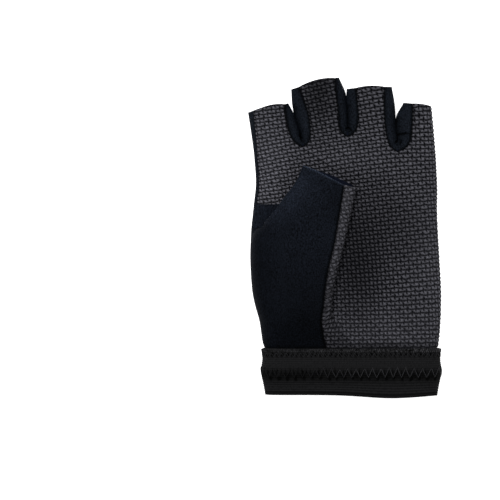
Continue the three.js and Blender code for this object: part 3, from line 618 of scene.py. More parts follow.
class UpperHand:
    """The palm and the back between the thumb crotch and the knuckle row."""

    def __init__(self, parts: Array, columns: Columns) -> None:
        """Works out the sections of the rows.

        Args:
            parts: How far each row lies from the crotch, at 0, to the knuckle row, at 1.
            columns: How many columns each stretch has.
        """
        self.columns = columns
        self.part = np.asarray(parts, float)[:, None]
        self.at = UPPER.at(self.part)
        self.seam = self.at.left + np.where(self.part < WEB_PART, 0.0, self.at.sliver)
        self.arched = smooth((self.part - ARCH_STARTS) / (1 - ARCH_STARTS))
        rise = self.part * (KNUCKLES.at(CROTCH[0]).y - CROTCH[1])
        self.ridge = VALLEY_RADIUS * np.exp(-(rise**2))

    def y_at(self, x: Array) -> Array:
        """The y of a row's point: the rows bend evenly from the crotch's row to the knuckle row."""
        return mix(CROTCH[1], KNUCKLES.at(x).y, self.part)

    def across_ray(self, x: Array) -> Array:
        """How far a point lies from the slots' lines, from 0 on a line to 1 in the middle of a finger."""
        at = self.at
        little = beside_slot((x - at.slot3) / (at.right - at.slot3))
        ring = between_slots((x - at.slot2) / (at.slot3 - at.slot2))
        middle = between_slots((x - at.slot1) / (at.slot2 - at.slot1))
        index = beside_slot(np.clip((at.slot1 - x) / (at.slot1 - at.left), 0, 1))
        return np.select([x >= at.slot3, x >= at.slot2, x >= at.slot1], [little, ring, middle], index)

    def on_palm(self, x: Array, lift: Array | float = 0.0) -> Array:
        """Points of the palm at plan x, with the fingers' arches growing toward the knuckle row."""
        arch = self.arched * mix(-SLOT_DIP, FINGER_ARCH, self.across_ray(x))
        y = self.y_at(x)
        return grid(x, y, palm_height(x, y, self.at.left, self.at.right, arch) + lift)

    def palm(self) -> Array:
        """The palm, from the little-finger edge to the line above the crotch."""
        x = palm_columns(self.at, self.at.split + VALLEY_RADIUS, self.columns)
        turn = steps(self.columns.valley) * np.pi / 2
        beside = self.at.split + VALLEY_RADIUS * (1 - np.sin(turn))
        return joined(self.on_palm(x), self.on_palm(beside, self.ridge * (1 - np.cos(turn))))

    def web(self) -> Array:
        """The palm between the line above the crotch and the thumb-side seam."""
        t = np.sin(steps(self.columns.side) * np.pi / 2)
        return self.on_palm(mix(self.at.split, self.seam, t), self.ridge * (1 - t) ** 2)

    def front(self) -> Array:
        """The whole front, from the little-finger edge to the thumb-side seam."""
        return joined(self.palm(), self.web())

    def wrap(self) -> Array:
        """The sliver of the back that shows beyond the palm's thumb-side seam."""
        return self.on_palm(mix(self.seam, self.at.left, np.sin(steps(self.columns.wrap) * np.pi / 2)))

    def back(self) -> Array:
        """The back, which rises a little to each slot."""
        at = self.at
        x = back_columns(at.left, [at.slot1, at.slot2, at.slot3], at.right, self.columns)
        y = self.y_at(x)
        arch = self.arched * SLOT_RISE * (1 - self.across_ray(x))
        return grid(x, y, back_height(x, y, at.left, at.right, arch))


class Fingers:
    """The four fingers' fronts and backs, beyond the knuckle row."""

    def __init__(self, shares: Array, knuckle_palm: Array, knuckle_back: Array, columns: Columns) -> None:
        """Shares the knuckle row out among the fingers.

        Args:
            shares: How far each row lies from the knuckle row, at 0, to the fingertips, at 1.
            knuckle_palm: The palm's last row, from the little-finger edge to the thumb-side seam.
            knuckle_back: The back's last row, from the thumb-side edge to the little-finger edge.
            columns: How many columns each stretch has.
        """
        self.share = np.asarray(shares, float)[:, None]
        front = np.cumsum([0, columns.little, columns.ring, columns.middle])
        rear = np.cumsum([0, columns.little, columns.middle, columns.ring, columns.little])
        order = tuple(Finger)
        ends = [*front[1:], len(knuckle_palm) - 1]
        self.front = {f: knuckle_palm[a : b + 1] for f, a, b in zip(order, front, ends)}
        self.rear = {f: knuckle_back[a : b + 1][::-1] for f, a, b in zip(order, rear[-2::-1], rear[:0:-1])}

    def sides(self, finger: Finger) -> tuple:
        """A finger's two sides as plan curves at each row: its right one, its left one and its outer edge."""
        first, second, third = SLOTS
        if finger is Finger.LITTLE:
            return along(LITTLE_EDGE, self.share), along(third.high, self.share), None
        if finger is Finger.RING:
            return along(third.low, self.share), along(second.high, self.share), None
        if finger is Finger.MIDDLE:
            return along(second.low, self.share), along(first.high, self.share), None
        edge = along(INDEX_EDGE, self.share)
        sliver = mix(UPPER.at(1.0).sliver, INDEX_SLIVER_TIP, self.share)
        return along(first.low, self.share), (edge[0] + sliver, edge[1]), edge

    def surface(self, finger: Finger, palm_side: bool, columns: Array | None = None) -> Array:
        """One finger's front or back: its knuckle columns carried out between its two sides to a bowed tip.

        Args:
            finger: Which finger.
            palm_side: True for the front and False for the back.
            columns: The knuckle points to carry out, or None for all of the finger's own.

        Returns:
            The points, rows by columns.
        """
        columns = (self.front if palm_side else self.rear)[finger] if columns is None else columns
        right, left, edge = self.sides(finger)
        if edge is not None and not palm_side:
            left = edge
        x0, y0 = columns[:, 0][None, :], columns[:, 1][None, :]
        t = (x0 - x0[0, 0]) / (x0[0, -1] - x0[0, 0])
        bow = (y0 - mix(y0[0, 0], y0[0, -1], t)) * (1 - self.share) ** 2
        x = mix(right[0], left[0], t)
        y = mix(right[1], left[1], t) + bow + TIP_BOW[finger] * 4 * t * (1 - t) * self.share**2
        lowest = edge[0] if edge is not None else -np.inf
        highest = right[0] if finger is Finger.LITTLE else np.inf
        if finger is Finger.LITTLE:
            rise = beside_slot(1 - t)
        elif finger is Finger.INDEX:
            rise = beside_slot(t)
        else:
            rise = between_slots(t)
        if palm_side:
            z = palm_height(x, y, lowest, highest, mix(-SLOT_DIP, FINGER_ARCH, rise))
        else:
            z = back_height(x, y, lowest, highest, SLOT_RISE * (1 - rise))
        points = grid(x, y, z)
        points[0] = columns
        return points

    def index_wrap(self, count: int) -> Array:
        """The sliver of the back round the index finger's outer edge.

        Args:
            count: How many columns it has.

        Returns:
            The points, rows by columns.
        """
        palm = self.surface(Finger.INDEX, True)[:, -1]
        back = self.surface(Finger.INDEX, False)[:, -1]
        edge = along(INDEX_EDGE, self.share)[0]
        t = np.sin(steps(count) * np.pi / 2)
        x = mix(palm[:, :1], edge, t)
        points = grid(x, mix(palm[:, 1:2], back[:, 1:2], t),
                      palm_height(x, palm[:, 1:2], edge, np.inf, FINGER_ARCH))
        points[:, 0], points[:, -1] = palm, back
        return points


class Thumb:
    """The thumb beyond its crotch, from the crotch's row at share 0 to the mouth at share 1."""

    def __init__(self, shares: Array, columns: Columns) -> None:
        """Works out the sections of the rows.

        Args:
            shares: How far each row lies from the crotch to the mouth.
            columns: How many columns each stretch has.
        """
        self.columns = columns
        self.share = np.asarray(shares, float)[:, None]
        self.edge = along(THUMB_EDGE, self.share)
        self.far = along(THUMB_FOLD, self.share)
        self.wide = np.hypot(self.far[0] - self.edge[0], self.far[1] - self.edge[1])
        self.unit = ((self.far[0] - self.edge[0]) / self.wide, (self.far[1] - self.edge[1]) / self.wide)
        self.top = HAND.at(CROTCH[1]).top
        self.low = PALM_UNDER_THUMB + 2 * VALLEY_RADIUS
        length = math.hypot(THUMB_EDGE[-1][0] - CROTCH[0], THUMB_EDGE[-1][1] - CROTCH[1])
        opened = np.sqrt(1 - np.exp(-self.share * length / THUMB_EDGE_RISE))
        self.edge_z = mix(CROTCH[2], THUMB_EDGE_HEIGHT, opened)
        self.turn_at = self.wide - THUMB_TURN
        self.strip_end = self.turn_at - STRIP_FLAT - STRIP_WIDENS * self.share
        self.lip = smooth((self.share - LIP_STARTS) / (1 - LIP_STARTS))

    def at(self, across: Array, z: Array, beyond: Array | float = 0.0) -> Array:
        """Points so far across a row, from the thumb's left edge to its fold, and so far beyond the row."""
        x = self.edge[0] + self.unit[0] * across - self.unit[1] * beyond
        y = self.edge[1] + self.unit[1] * across + self.unit[0] * beyond
        return grid(x, y, z)

    def cloth(self, first_row: Array) -> Array:
        """The grip-cloth side: up from the left edge, across the facing, round the fold and over the strip.

        Args:
            first_row: The points of the crotch's row, where the lower hand's fold ends.

        Returns:
            The points, rows by columns.
        """
        count = self.columns
        edge_z, low, top = self.edge_z, self.low, self.top
        below, aside = UNDER_HANDLES
        rise = bezier((0.0, edge_z), (0.0, edge_z - below), (FLAT_UNDER - aside, low), (FLAT_UNDER, low),
                      steps(count.valley))
        corner, at_seam, at_turn = UPPER_LIP
        near, far, bulge = LOWER_LIP
        t = steps(count.facing)
        facing = self.at(mix(FLAT_UNDER, self.turn_at, t), mix(low, top - 2 * THUMB_TURN, t),
                         self.lip * (mix(near, far, t) + bulge * np.sin(np.pi * t)))
        t = steps(count.turn)
        angle = np.pi * (1 - t)
        turn = self.at(self.turn_at + THUMB_TURN * np.sin(angle), top - THUMB_TURN * (1 - np.cos(angle)),
                       self.lip * mix(far, at_turn, smooth(t)))
        t = steps(count.strip)
        strip = self.at(mix(self.turn_at, self.strip_end, t), top, self.lip * mix(at_turn, at_seam, t))
        points = joined(self.at(*rise, self.lip * corner), facing, turn, strip)
        points[0] = first_row
        return points

    def neoprene(self, first_row: Array) -> Array:
        """The plain side: from the strip's seam over the thumb and down to its left edge.

        Args:
            first_row: The points of the crotch's row, where the lower hand's thumb side ends.

        Returns:
            The points, rows by columns.
        """
        count = self.columns
        t = steps(count.thumb_top)
        corner, at_seam, _ = UPPER_LIP
        over = self.at(mix(self.strip_end, FLAT_OVER, t), self.top + thumb_crown(0.0, t),
                       self.lip * mix(at_seam, corner, t))
        above, aside = OVER_HANDLES
        down = bezier((FLAT_OVER, self.top), (FLAT_OVER - aside, self.top), (0.0, self.edge_z + above),
                      (0.0, self.edge_z), steps(count.shoulder))
        points = joined(over, self.at(*down, self.lip * corner))
        points[0] = first_row
        return points


# Meshes

# Points are one point where they agree to this many digits of a millimetre
WELD_DIGITS = 4
TINY = 1e-12

# The least share of its tone that a cloth keeps under painted shade, however deep it lies
LEAST_SHADE = 0.05


def travelled_across(points: Array) -> Array:
    """The distance from a grid's first column to each of its columns, along its rows."""
    step = np.linalg.norm(np.diff(points, axis=1), axis=-1)
    return np.concatenate([np.zeros((len(points), 1)), np.cumsum(step, axis=1)], axis=1)


@dataclass
class Patch:
    """One grid of a cloth: its points, and the cloth's place, lift, painted shade and closed gaps at each of
    them.
    """

    tag: str
    points: Array
    cloth: Array
    lift: Array
    shade: Array
    closed: Array


@dataclass
class Skin:
    """Grids of points that are sewn where they share points, so that they have one set of directions."""

    patches: list[Patch] = field(default_factory=list)

    def add(self, tag: str, points: Array, cloth: Array | None = None, lift: Array | float = 0.0,
            shade: Array | float = 1.0, closed: Array | float = 0.0) -> None:
        """Adds a grid.

        Args:
            tag: The piece that the grid belongs to.
            points: Rows by columns of points. Rows run along the hand and columns round it.
            cloth: Each point's place on the cut cloth, or None for its plan point.
            lift: How far the outer face stands up from its plain height.
            shade: How light painted light and shade make the cloth there, as a share of its tone.
            closed: How far the cloth's gaps are closed, where it is bent or stretched.
        """
        cloth = points[..., :2] if cloth is None else cloth
        values = (np.broadcast_to(value, points.shape[:2]).astype(float) for value in (lift, shade, closed))
        self.patches.append(Patch(tag, points, cloth, *values))

    def weld(self) -> None:
        """Gives points in one place one number, and works out the direction that faces out at each."""
        points = np.concatenate([p.points.reshape(-1, 3) for p in self.patches])
        places = np.round(points, WELD_DIGITS)
        _, first, where = np.unique(places, axis=0, return_index=True, return_inverse=True)
        self.points = points[first]
        where = where.reshape(-1)
        start, self.quads, self.numbers = 0, [], []
        for patch in self.patches:
            rows, columns = patch.points.shape[:2]
            number = where[start : start + rows * columns].reshape(rows, columns)
            start += rows * columns
            corners = (number[:-1, :-1], number[1:, :-1], number[1:, 1:], number[:-1, 1:])
            self.quads.append(np.stack(corners, axis=-1).reshape(-1, 4))
            self.numbers.append(number.reshape(-1))
        every = np.concatenate(self.quads)
        a, b, c, d = (self.points[every[:, k]] for k in range(4))
        facing = np.cross(c - a, d - b)
        out = np.zeros_like(self.points)
        for k in range(4):
            np.add.at(out, every[:, k], facing)
        self.out = out / np.maximum(np.linalg.norm(out, axis=1, keepdims=True), TINY)

    def piece(self, tag: str) -> SimpleNamespace:
        """The grids of one tag as one surface.

        Args:
            tag: The tag.

        Returns:
            Its points, the directions that face out there, its faces, places on the cloth and values.
        """
        chosen = [i for i, patch in enumerate(self.patches) if patch.tag == tag]
        numbers = np.concatenate([self.numbers[i] for i in chosen])
        cloth = np.concatenate([self.patches[i].cloth.reshape(-1, 2) for i in chosen])
        used, first = np.unique(numbers, return_index=True)
        faces = np.searchsorted(used, np.concatenate([self.quads[i] for i in chosen]))
        values = {name: np.concatenate([getattr(self.patches[i], name).reshape(-1) for i in chosen])[first]
                  for name in ("lift", "shade", "closed")}
        return SimpleNamespace(points=self.points[used], out=self.out[used], faces=faces, cloth=cloth[first],
                               **values)


def tidy_faces(faces: Array) -> list:
    """Faces as lists, with a four-sided face that has two corners in one place made three-sided.

    Args:
        faces: Four point numbers for each face.

    Returns:
        The faces. One that has more than two corners in one place is left out.
    """
    following = np.roll(faces, -1, axis=1)
    doubled = faces == following
    whole = faces[~doubled.any(axis=1)]
    folded = faces[doubled.sum(axis=1) == 1]
    apart = ~doubled[doubled.sum(axis=1) == 1]
    return whole.tolist() + folded[apart].reshape(-1, 3).tolist()


def border_edges(faces: Array) -> Array:
    """The directed edges that no second face runs along.

    Args:
        faces: Four point numbers for each face, in order.

    Returns:
        The two point numbers of each edge.
    """
    edges = np.stack([faces, np.roll(faces, -1, axis=1)], axis=-1).reshape(-1, 2)
    edges = edges[edges[:, 0] != edges[:, 1]]
    size = int(faces.max()) + 1
    keys, back = edges[:, 0] * size + edges[:, 1], edges[:, 1] * size + edges[:, 0]
    return edges[~np.isin(keys, back)]


def new_object(name: str, points: Array, faces: list) -> Object:
    """A mesh object from points in millimetres and faces as lists of point numbers."""
    mesh = bpy.data.meshes.new(name)
    mesh.from_pydata((np.asarray(points) * MM).tolist(), [], faces)
    mesh.validate()
    mesh.update()
    made = bpy.data.objects.new(name, mesh)
    bpy.context.scene.collection.objects.link(made)
    return made


def keep_values(made: Object, name: str, values: Array) -> None:
    """Keeps one number for each point of a mesh as a named attribute."""
    made.data.attributes.new(name, "FLOAT", "POINT").data.foreach_set("value", values.astype(np.float32))


@dataclass(frozen=True)
class LightAndClosurePatches:
    """Soft patches of a share over the glove: painted light and shade on a cloth, and the grip cloth's closed
    gaps.
    """

    ground: float = 1.0
    patches: tuple = ()

    def tone(self, points: Array) -> Array:
        """The share of the colour at each point.

        Each patch is a bell curve over plan x and y, (x, y, reach in x, reach in y, share in its middle). The
        patches mix the ground toward their own shares, one after another.

        Args:
            points: Rows of points.

        Returns:
            One share for each point.
        """
        x, y = points[:, 0], points[:, 1]
        tone = np.full(len(points), self.ground)
        for middle_x, middle_y, reach_x, reach_y, share in self.patches:
            bell = np.exp(-(((x - middle_x) / reach_x) ** 2) - ((y - middle_y) / reach_y) ** 2)
            tone = mix(tone, share, bell)
        return tone


def cloth_map(made: Object, places: Array) -> None:
    """Keeps each point's place on the cut cloth, in millimetres, as the mesh's UV map.

    Args:
        made: The piece.
        places: Two numbers for each point.
    """
    layer = made.data.uv_layers.new(name="cloth")
    corners = np.empty(len(made.data.loops), np.int32)
    made.data.loops.foreach_get("vertex_index", corners)
    layer.data.foreach_set("uv", places[corners].astype(np.float32).reshape(-1))


def walled(name: str, surface: SimpleNamespace, wall: float, painted_light: LightAndClosurePatches = LightAndClosurePatches()) -> Object:
    """A closed wall from the surface in its middle: it is moved out and in by half, and its border is closed.

    Args:
        name: The piece's name.
        surface: The piece of a skin.
        wall: How thick the wall is.
        painted_light: The painted light and shade over the piece, kept as its attribute "tone" times the grid's
            own shade.

    Returns:
        The piece. Its attribute "inside" is 1 on the inner face and 0 on the outer one, "tone" is how light
        painted light and shade make the cloth, and "closed" how far its gaps are closed.
    """
    points, faces, cloth = surface.points, surface.faces, surface.cloth
    count = len(points)
    outer = points + surface.out * (wall / 2 + surface.lift)[:, None]
    inner = points - surface.out * wall / 2
    edge = border_edges(faces)
    rim = np.stack([edge[:, 1], edge[:, 0], edge[:, 0] + count, edge[:, 1] + count], axis=-1)
    sides = tidy_faces(faces) + tidy_faces(faces[:, ::-1] + count)
    made = new_object(name, np.concatenate([outer, inner]), sides + rim.tolist())
    polygons = len(made.data.polygons)
    flat = np.zeros(polygons, bool)
    flat[len(sides) :] = True
    made.data.attributes.new("sharp_face", "BOOLEAN", "FACE").data.foreach_set("value", flat)
    keep_values(made, "inside", np.repeat([0.0, 1.0], count))
    # tone: painted light and shade, the patches' share times the grid's own painted shade
    keep_values(made, "tone", np.tile(painted_light.tone(points) * np.maximum(surface.shade, LEAST_SHADE), 2))
    keep_values(made, "closed", np.tile(surface.closed, 2))
    cloth_map(made, np.concatenate([cloth, cloth]))
    return made


def cord(name: str, path: Array, radius: float, sides: int) -> Object:
    """A closed round thread along a path: a ring of points round each point, across the path's direction.

    Args:
        name: The piece's name.
        path: Rows of points.
        radius: The thread's radius.
        sides: How many points each ring has.

    Returns:
        The piece.
    """
    angle = np.linspace(0, 2 * np.pi, sides, endpoint=False)[None, :, None]
    run = np.gradient(path, axis=0)
    run /= np.linalg.norm(run, axis=1, keepdims=True)
    aside = np.where(np.abs(run[:, 2:]) < 0.9, [[0.0, 0.0, 1.0]], [[1.0, 0.0, 0.0]])
    one = np.cross(run, aside)
    one /= np.linalg.norm(one, axis=1, keepdims=True)
    two = np.cross(run, one)
    rings = path[:, None] + radius * (np.cos(angle) * one[:, None] + np.sin(angle) * two[:, None])
    number = np.arange(len(path) * sides).reshape(-1, sides)
    turned = np.roll(number, -1, axis=1)
    quads = np.stack([number[:-1], turned[:-1], turned[1:], number[1:]], axis=-1).reshape(-1, 4)
    ends = [number[0][::-1].tolist(), number[-1].tolist()]
    made = new_object(name, rings.reshape(-1, 3), quads.tolist() + ends)
    made.data.polygons.foreach_set("use_smooth", np.ones(len(made.data.polygons), bool))
    return made


# Finishes

# Blender's maths operations that take one operand
ONE_OPERAND = {"FRACT", "ROUND", "ABSOLUTE", "EXPONENT", "COSINE", "SINE"}

# Where the cut edge starts and ends, between the outer face at 0 and the inner one at 1
EDGE_STARTS = 0.12
EDGE_ENDS = 0.88


def linear(colour: str) -> tuple[float, float, float, float]:
    """An sRGB hex colour as linear red, green, blue and alpha."""
    parts = [int(colour[i : i + 2], 16) / 255 for i in (1, 3, 5)]
    return (*(p / 12.92 if p <= 0.04045 else ((p + 0.055) / 1.055) ** 2.4 for p in parts), 1.0)


def add(tree: NodeTree, kind: str, inputs: dict | None = None, out: int | str = 0,
        **settings: str) -> Socket | None:
    """Adds a node, sets it up and links it.

    Args:
        tree: The node tree.
        kind: The node's type.
        inputs: A value or a socket to link for each input, by its name or number.
        out: The output wanted.
        **settings: The node's own settings.

    Returns:
        The output's socket, or None where the node has no output.
    """
    node = tree.nodes.new(kind)
    for name, value in settings.items():
        setattr(node, name, value)
    for name, value in (inputs or {}).items():
        if isinstance(value, Socket):
            tree.links.new(value, node.inputs[name])
        else:
            node.inputs[name].default_value = value
    return node.outputs[out] if node.outputs else None


def noise(tree: NodeTree, place: Socket, scale: float, detail: float, roughness: float = 0.5) -> Socket:
    """Fractal noise at a place, a number round 0.5."""
    inputs = {"Vector": place, "Scale": scale, "Detail": detail, "Roughness": roughness}
    return add(tree, "ShaderNodeTexNoise", inputs)


def kept_value(tree: NodeTree, name: str) -> Socket:
    """The number that the mesh keeps for each point under a name."""
    return add(tree, "ShaderNodeAttribute", out="Fac", attribute_name=name)


def blend(tree: NodeTree, share: Socket, first: Socket | tuple, second: Socket | tuple) -> Socket:
    """The first colour mixed toward the second by a share."""
    return add(tree, "ShaderNodeMix", {0: share, 6: first, 7: second}, 2, data_type="RGBA")


def maths(tree: NodeTree, text: str, **known: Socket | float) -> Socket:
    """Works out a formula in nodes, given in reverse Polish words.

    Args:
        tree: The node tree.
        text: Numbers, known names and Blender's names of maths operations, each after its operands.
        **known: The sockets and numbers that the text names.

    Returns:
        The result's socket.
    """
    stack: list = []
    for word in text.split():
        if word in known:
            stack.append(known[word])
        elif word.isupper():
            count = 1 if word in ONE_OPERAND else 2
            operands = dict(enumerate(stack[-count:]))
            del stack[-count:]
            stack.append(add(tree, "ShaderNodeMath", operands, operation=word))
        else:
            stack.append(float(word))
    return stack[0]


class Formulas:
    """Formulas in a node tree, each of which can name the results of those before it."""

    def __init__(self, tree: NodeTree, **known: Socket | float) -> None:
        """Starts with the sockets and numbers, a finish's own fields among them, that formulas can name."""
        self.tree = tree
        self.known = known

    def let(self, result: str, formula: str, **more: float) -> Socket:
        """Works out a formula and keeps its result under a name, with more numbers for this formula alone."""
        self.known[result] = maths(self.tree, formula, **{**self.known, **more})
        return self.known[result]


@dataclass(frozen=True)
class Finish:
    """What every finish here shares: its name, its main colour, and how its node tree starts and ends."""

    name: str
    outer: str

    def start(self) -> tuple[Material, NodeTree]:
        """An empty material of this finish's name, and its node tree."""
        material = bpy.data.materials.new(self.name)
        material.use_nodes = True
        material.node_tree.nodes.clear()
        return material, material.node_tree

    def scaled(self, tree: NodeTree, share: Socket) -> Socket:
        """The main colour times a share."""
        inputs = {0: linear(self.outer)[:3], "Scale": share}
        return add(tree, "ShaderNodeVectorMath", inputs, operation="SCALE")

    def shade(self, tree: NodeTree, inputs: dict) -> None:
        """Ends the tree with a principled shader of the given inputs."""
        shader = add(tree, "ShaderNodeBsdfPrincipled", inputs)
        add(tree, "ShaderNodeOutputMaterial", {"Surface": shader})


@dataclass(frozen=True)
class Facing(Finish):
    """What every cloth here shares besides: the colours of its cut edge and of its inner face."""

    edge: str
    lining: str

    def sided(self, tree: NodeTree, outer: Socket) -> Socket:
        """The outer colour on the outer face, the cut edge's on the border and the lining's inside.

        Args:
            tree: The node tree.
            outer: The outer face's colour.

        Returns:
            The colour anywhere on the wall.
        """
        inside = kept_value(tree, "inside")
        past_outer = maths(tree, "inside starts GREATER_THAN", inside=inside, starts=EDGE_STARTS)
        past_edge = maths(tree, "inside ends GREATER_THAN", inside=inside, ends=EDGE_ENDS)
        edged = blend(tree, past_outer, outer, linear(self.edge))
        return blend(tree, past_edge, edged, linear(self.lining))

    def with_painted_light(self, tree: NodeTree, share: Socket) -> Socket:
        """The main colour times a share and times the piece's painted light and shade, its attribute "tone"."""
        tone = kept_value(tree, "tone")
        return self.scaled(tree, maths(tree, "share tone MULTIPLY", share=share, tone=tone))


@dataclass(frozen=True)
class BasketWeave(Facing):
    """Rubbery polyester grip cloth in a basket weave: raised dull pads, and shadow in the gaps between them.

    The eye sees light grey pads in rows, a dark dash under each pad, and a short dark upright at every second
    crossing, set over by one in the next row. Where the cloth is bent, the gaps close and pale flecks show.
    """

    gap: str = "#030305"
    pitch: float = 2.17
    dash_width: float = 0.41
    upright_width: float = 0.38
    divide: float = 0.15
    upright_reach: float = 0.62
    sag: float = 0.12
    pinch: float = 0.04
    slant: float = 0.3
    dots: float = 0.14
    evened: tuple = ((10.0, -14.0, 16.0, 32.0), (-12.0, 68.0, 8.0, 12.0))
    evened_by: float = 0.74
    pad_tone: float = 1.66
    beside_gap: float = 0.75
    gap_softness: float = 0.05
    fibre_tone: float = 0.6
    uneven_tone: float = 1.3
    patch_tone: float = 0.5
    fleck_tone: float = 7.0
    bump: float = 0.35

    def gaps(self, cloth: Array, wider: float) -> Array:
        """How far each place on the cloth lies in a gap, by the material's formula with softer sides.

        Args:
            cloth: Places on the cloth, in millimetres.
            wider: How many times wider the gaps are taken here than in the material.

        Returns:
            1 in the middle of a gap, falling to 0 on the pads.
        """
        a, b = np.moveaxis(cloth / self.pitch, -1, 0)
        leant = a + self.slant * (b % 1 - 0.5)
        row, column = np.round(b), np.round(leant)
        between = np.abs(np.sin(np.pi * (a + row) / 2))
        dash = (b - row + self.sag * between) * (1 + self.pinch * between) * self.pitch / self.dash_width
        upright = (leant - column) * self.pitch / self.upright_width
        own = np.exp(-((np.abs((b + column + 1) % 2 - 1) / self.upright_reach) ** 6))
        divide = self.divide
        for middle_u, middle_v, reach_u, reach_v in self.evened:
            u, v = (cloth[..., 0] - middle_u) / reach_u, (cloth[..., 1] - middle_v) / reach_v
            divide = mix(divide, self.evened_by, np.exp(-(u**2) - v**2))
        dotted = 1 - self.dots * np.sin(1.5 * np.pi * (a + row)) ** 2
        return np.maximum(np.exp(-((dash / wider) ** 2)) * dotted,
                          np.exp(-((upright / wider) ** 2)) * (divide + (1 - divide) * own))

    def material(self) -> Material:
        """The weave worked out on the cloth's own map, in millimetres.

        A dash lies under each row of pads and sags between its uprights. It grows fainter three times in the
        length of a pad. An upright crosses it at every second column, and in the next row at the columns
        between, and leans a little. Both have flat dark floors and steep sides. A fainter upright divides
        each pad in the middle. In a few places, each a bell curve, it is nearly as dark as the others.

        Returns:
            The material.
        """
        material, tree = self.start()
        place = add(tree, "ShaderNodeUVMap", uv_map="cloth")
        u, v = (add(tree, "ShaderNodeSeparateXYZ", {0: place}, k) for k in (0, 1))
        # From fine to coarse, in waves on a millimetre: the fibres, flecks, uneven pads and wide patches
        fibre, fleck = noise(tree, place, 2.4, 2.0), noise(tree, place, 1.0, 1.0)
        uneven, patchy = noise(tree, place, 0.5, 2.0), noise(tree, place, 0.06, 2.0)
        work = Formulas(tree, **vars(self), u=u, v=v, fibre=fibre, fleck=fleck, uneven=uneven, patchy=patchy,
                        closed=kept_value(tree, "closed"), quarter=math.pi / 2, turn=1.5 * math.pi,
                        dash_scale=self.pitch / self.dash_width,
                        upright_scale=self.pitch / self.upright_width)
        work.let("a", "u pitch DIVIDE 400 ADD")
        work.let("b", "v pitch DIVIDE 400 ADD")
        work.let("leant", "b FRACT 0.5 SUBTRACT slant MULTIPLY a ADD")
        work.let("row", "b ROUND")
        work.let("column", "leant ROUND")
        work.let("between", "a row ADD quarter MULTIPLY SINE ABSOLUTE")
        work.let("dotted", "1 a row ADD turn MULTIPLY SINE 2 POWER dots MULTIPLY SUBTRACT")
        work.let("dash", "between sag MULTIPLY b ADD row SUBTRACT between pinch MULTIPLY 1 ADD MULTIPLY "
                 "dash_scale MULTIPLY 4 POWER -1 MULTIPLY EXPONENT dotted MULTIPLY")
        for middle_u, middle_v, reach_u, reach_v in self.evened:
            work.let("bell", "u mu SUBTRACT ru DIVIDE 2 POWER v mv SUBTRACT rv DIVIDE 2 POWER ADD "
                     "-1 MULTIPLY EXPONENT", mu=middle_u, mv=middle_v, ru=reach_u, rv=reach_v)
            work.let("divide", "evened_by divide SUBTRACT bell MULTIPLY divide ADD")
        work.let("own", "b column ADD 1 ADD 2 MODULO 1 SUBTRACT upright_reach DIVIDE 6 POWER -1 MULTIPLY "
                 "EXPONENT")
        work.let("upright", "leant column SUBTRACT upright_scale MULTIPLY 4 POWER -1 MULTIPLY EXPONENT "
                 "1 divide SUBTRACT own MULTIPLY divide ADD MULTIPLY")
        gap = work.let("gap", "dash upright MAXIMUM 1 closed SUBTRACT MULTIPLY")
        # soft: nearness to a gap; the pads darken toward the gaps by painted shade
        work.let("soft", "gap gap_softness POWER")
        share = work.let("share", "fibre 0.5 SUBTRACT fibre_tone MULTIPLY "
                         "fleck 0.5 SUBTRACT closed MULTIPLY fleck_tone MULTIPLY ADD "
                         "patchy 0.5 SUBTRACT patch_tone MULTIPLY ADD "
                         "uneven 0.5 SUBTRACT uneven_tone MULTIPLY ADD "
                         "pad_tone ADD soft beside_gap MULTIPLY SUBTRACT")
        height = work.let("height", "1.5 gap SUBTRACT soft 0.5 MULTIPLY SUBTRACT fibre 0.35 MULTIPLY ADD")
        woven = blend(tree, gap, self.with_painted_light(tree, share), linear(self.gap))
        bump = add(tree, "ShaderNodeBump", {"Height": height, "Strength": 0.7, "Distance": self.bump * MM})
        self.shade(tree, {"Base Color": self.sided(tree, woven), "Roughness": 0.75, "Normal": bump,
                          "Specular IOR Level": 0.02})
        return material


@dataclass(frozen=True)
class JerseyNeoprene(Facing):
    """Neoprene foam faced with nylon jersey: the eye sees a soft, nearly black cloth with a blue bloom."""

    knit: float = 0.75
    patch: float = 22.0
    stitch_tone: float = 5.5
    patch_tone: float = 0.8
    plain_tone: float = 1.05
    bloom: str = "#31405c"
    bloom_weight: float = 0.08
    bump: float = 0.16

    def material(self) -> Material:
        """The jersey's stitches as fine noise, drawn about twice as coarse as real ones so that they show.

        Returns:
            The material.
        """
        material, tree = self.start()
        place = add(tree, "ShaderNodeTexCoord", out="Object")
        stretched = add(tree, "ShaderNodeMapping", {"Vector": place, "Scale": (1.5, 1.0, 1.0)})
        stitch = noise(tree, stretched, 1 / (self.knit * MM), 2.0, 0.65)
        patchy = noise(tree, place, 1 / (self.patch * MM), 3.0)
        work = Formulas(tree, **vars(self), stitch=stitch, patchy=patchy, least=LEAST_SHADE,
                        tone=kept_value(tree, "tone"))
        share = work.let("share", "stitch 0.5 SUBTRACT stitch_tone MULTIPLY "
                         "patchy 0.5 SUBTRACT patch_tone MULTIPLY ADD plain_tone ADD least MAXIMUM")
        # The sheen's weight follows the painted light and shade in "tone"
        bloom = work.let("bloom", "share tone MULTIPLY bloom_weight MULTIPLY")
        cloth = self.with_painted_light(tree, share)
        bump = add(tree, "ShaderNodeBump", {"Height": stitch, "Strength": 0.5, "Distance": self.bump * MM})
        self.shade(tree, {"Base Color": self.sided(tree, cloth), "Roughness": 0.78, "Normal": bump,
                          "Specular IOR Level": 0.02, "Sheen Weight": bloom, "Sheen Roughness": 0.4,
                          "Sheen Tint": linear(self.bloom)})
        return material


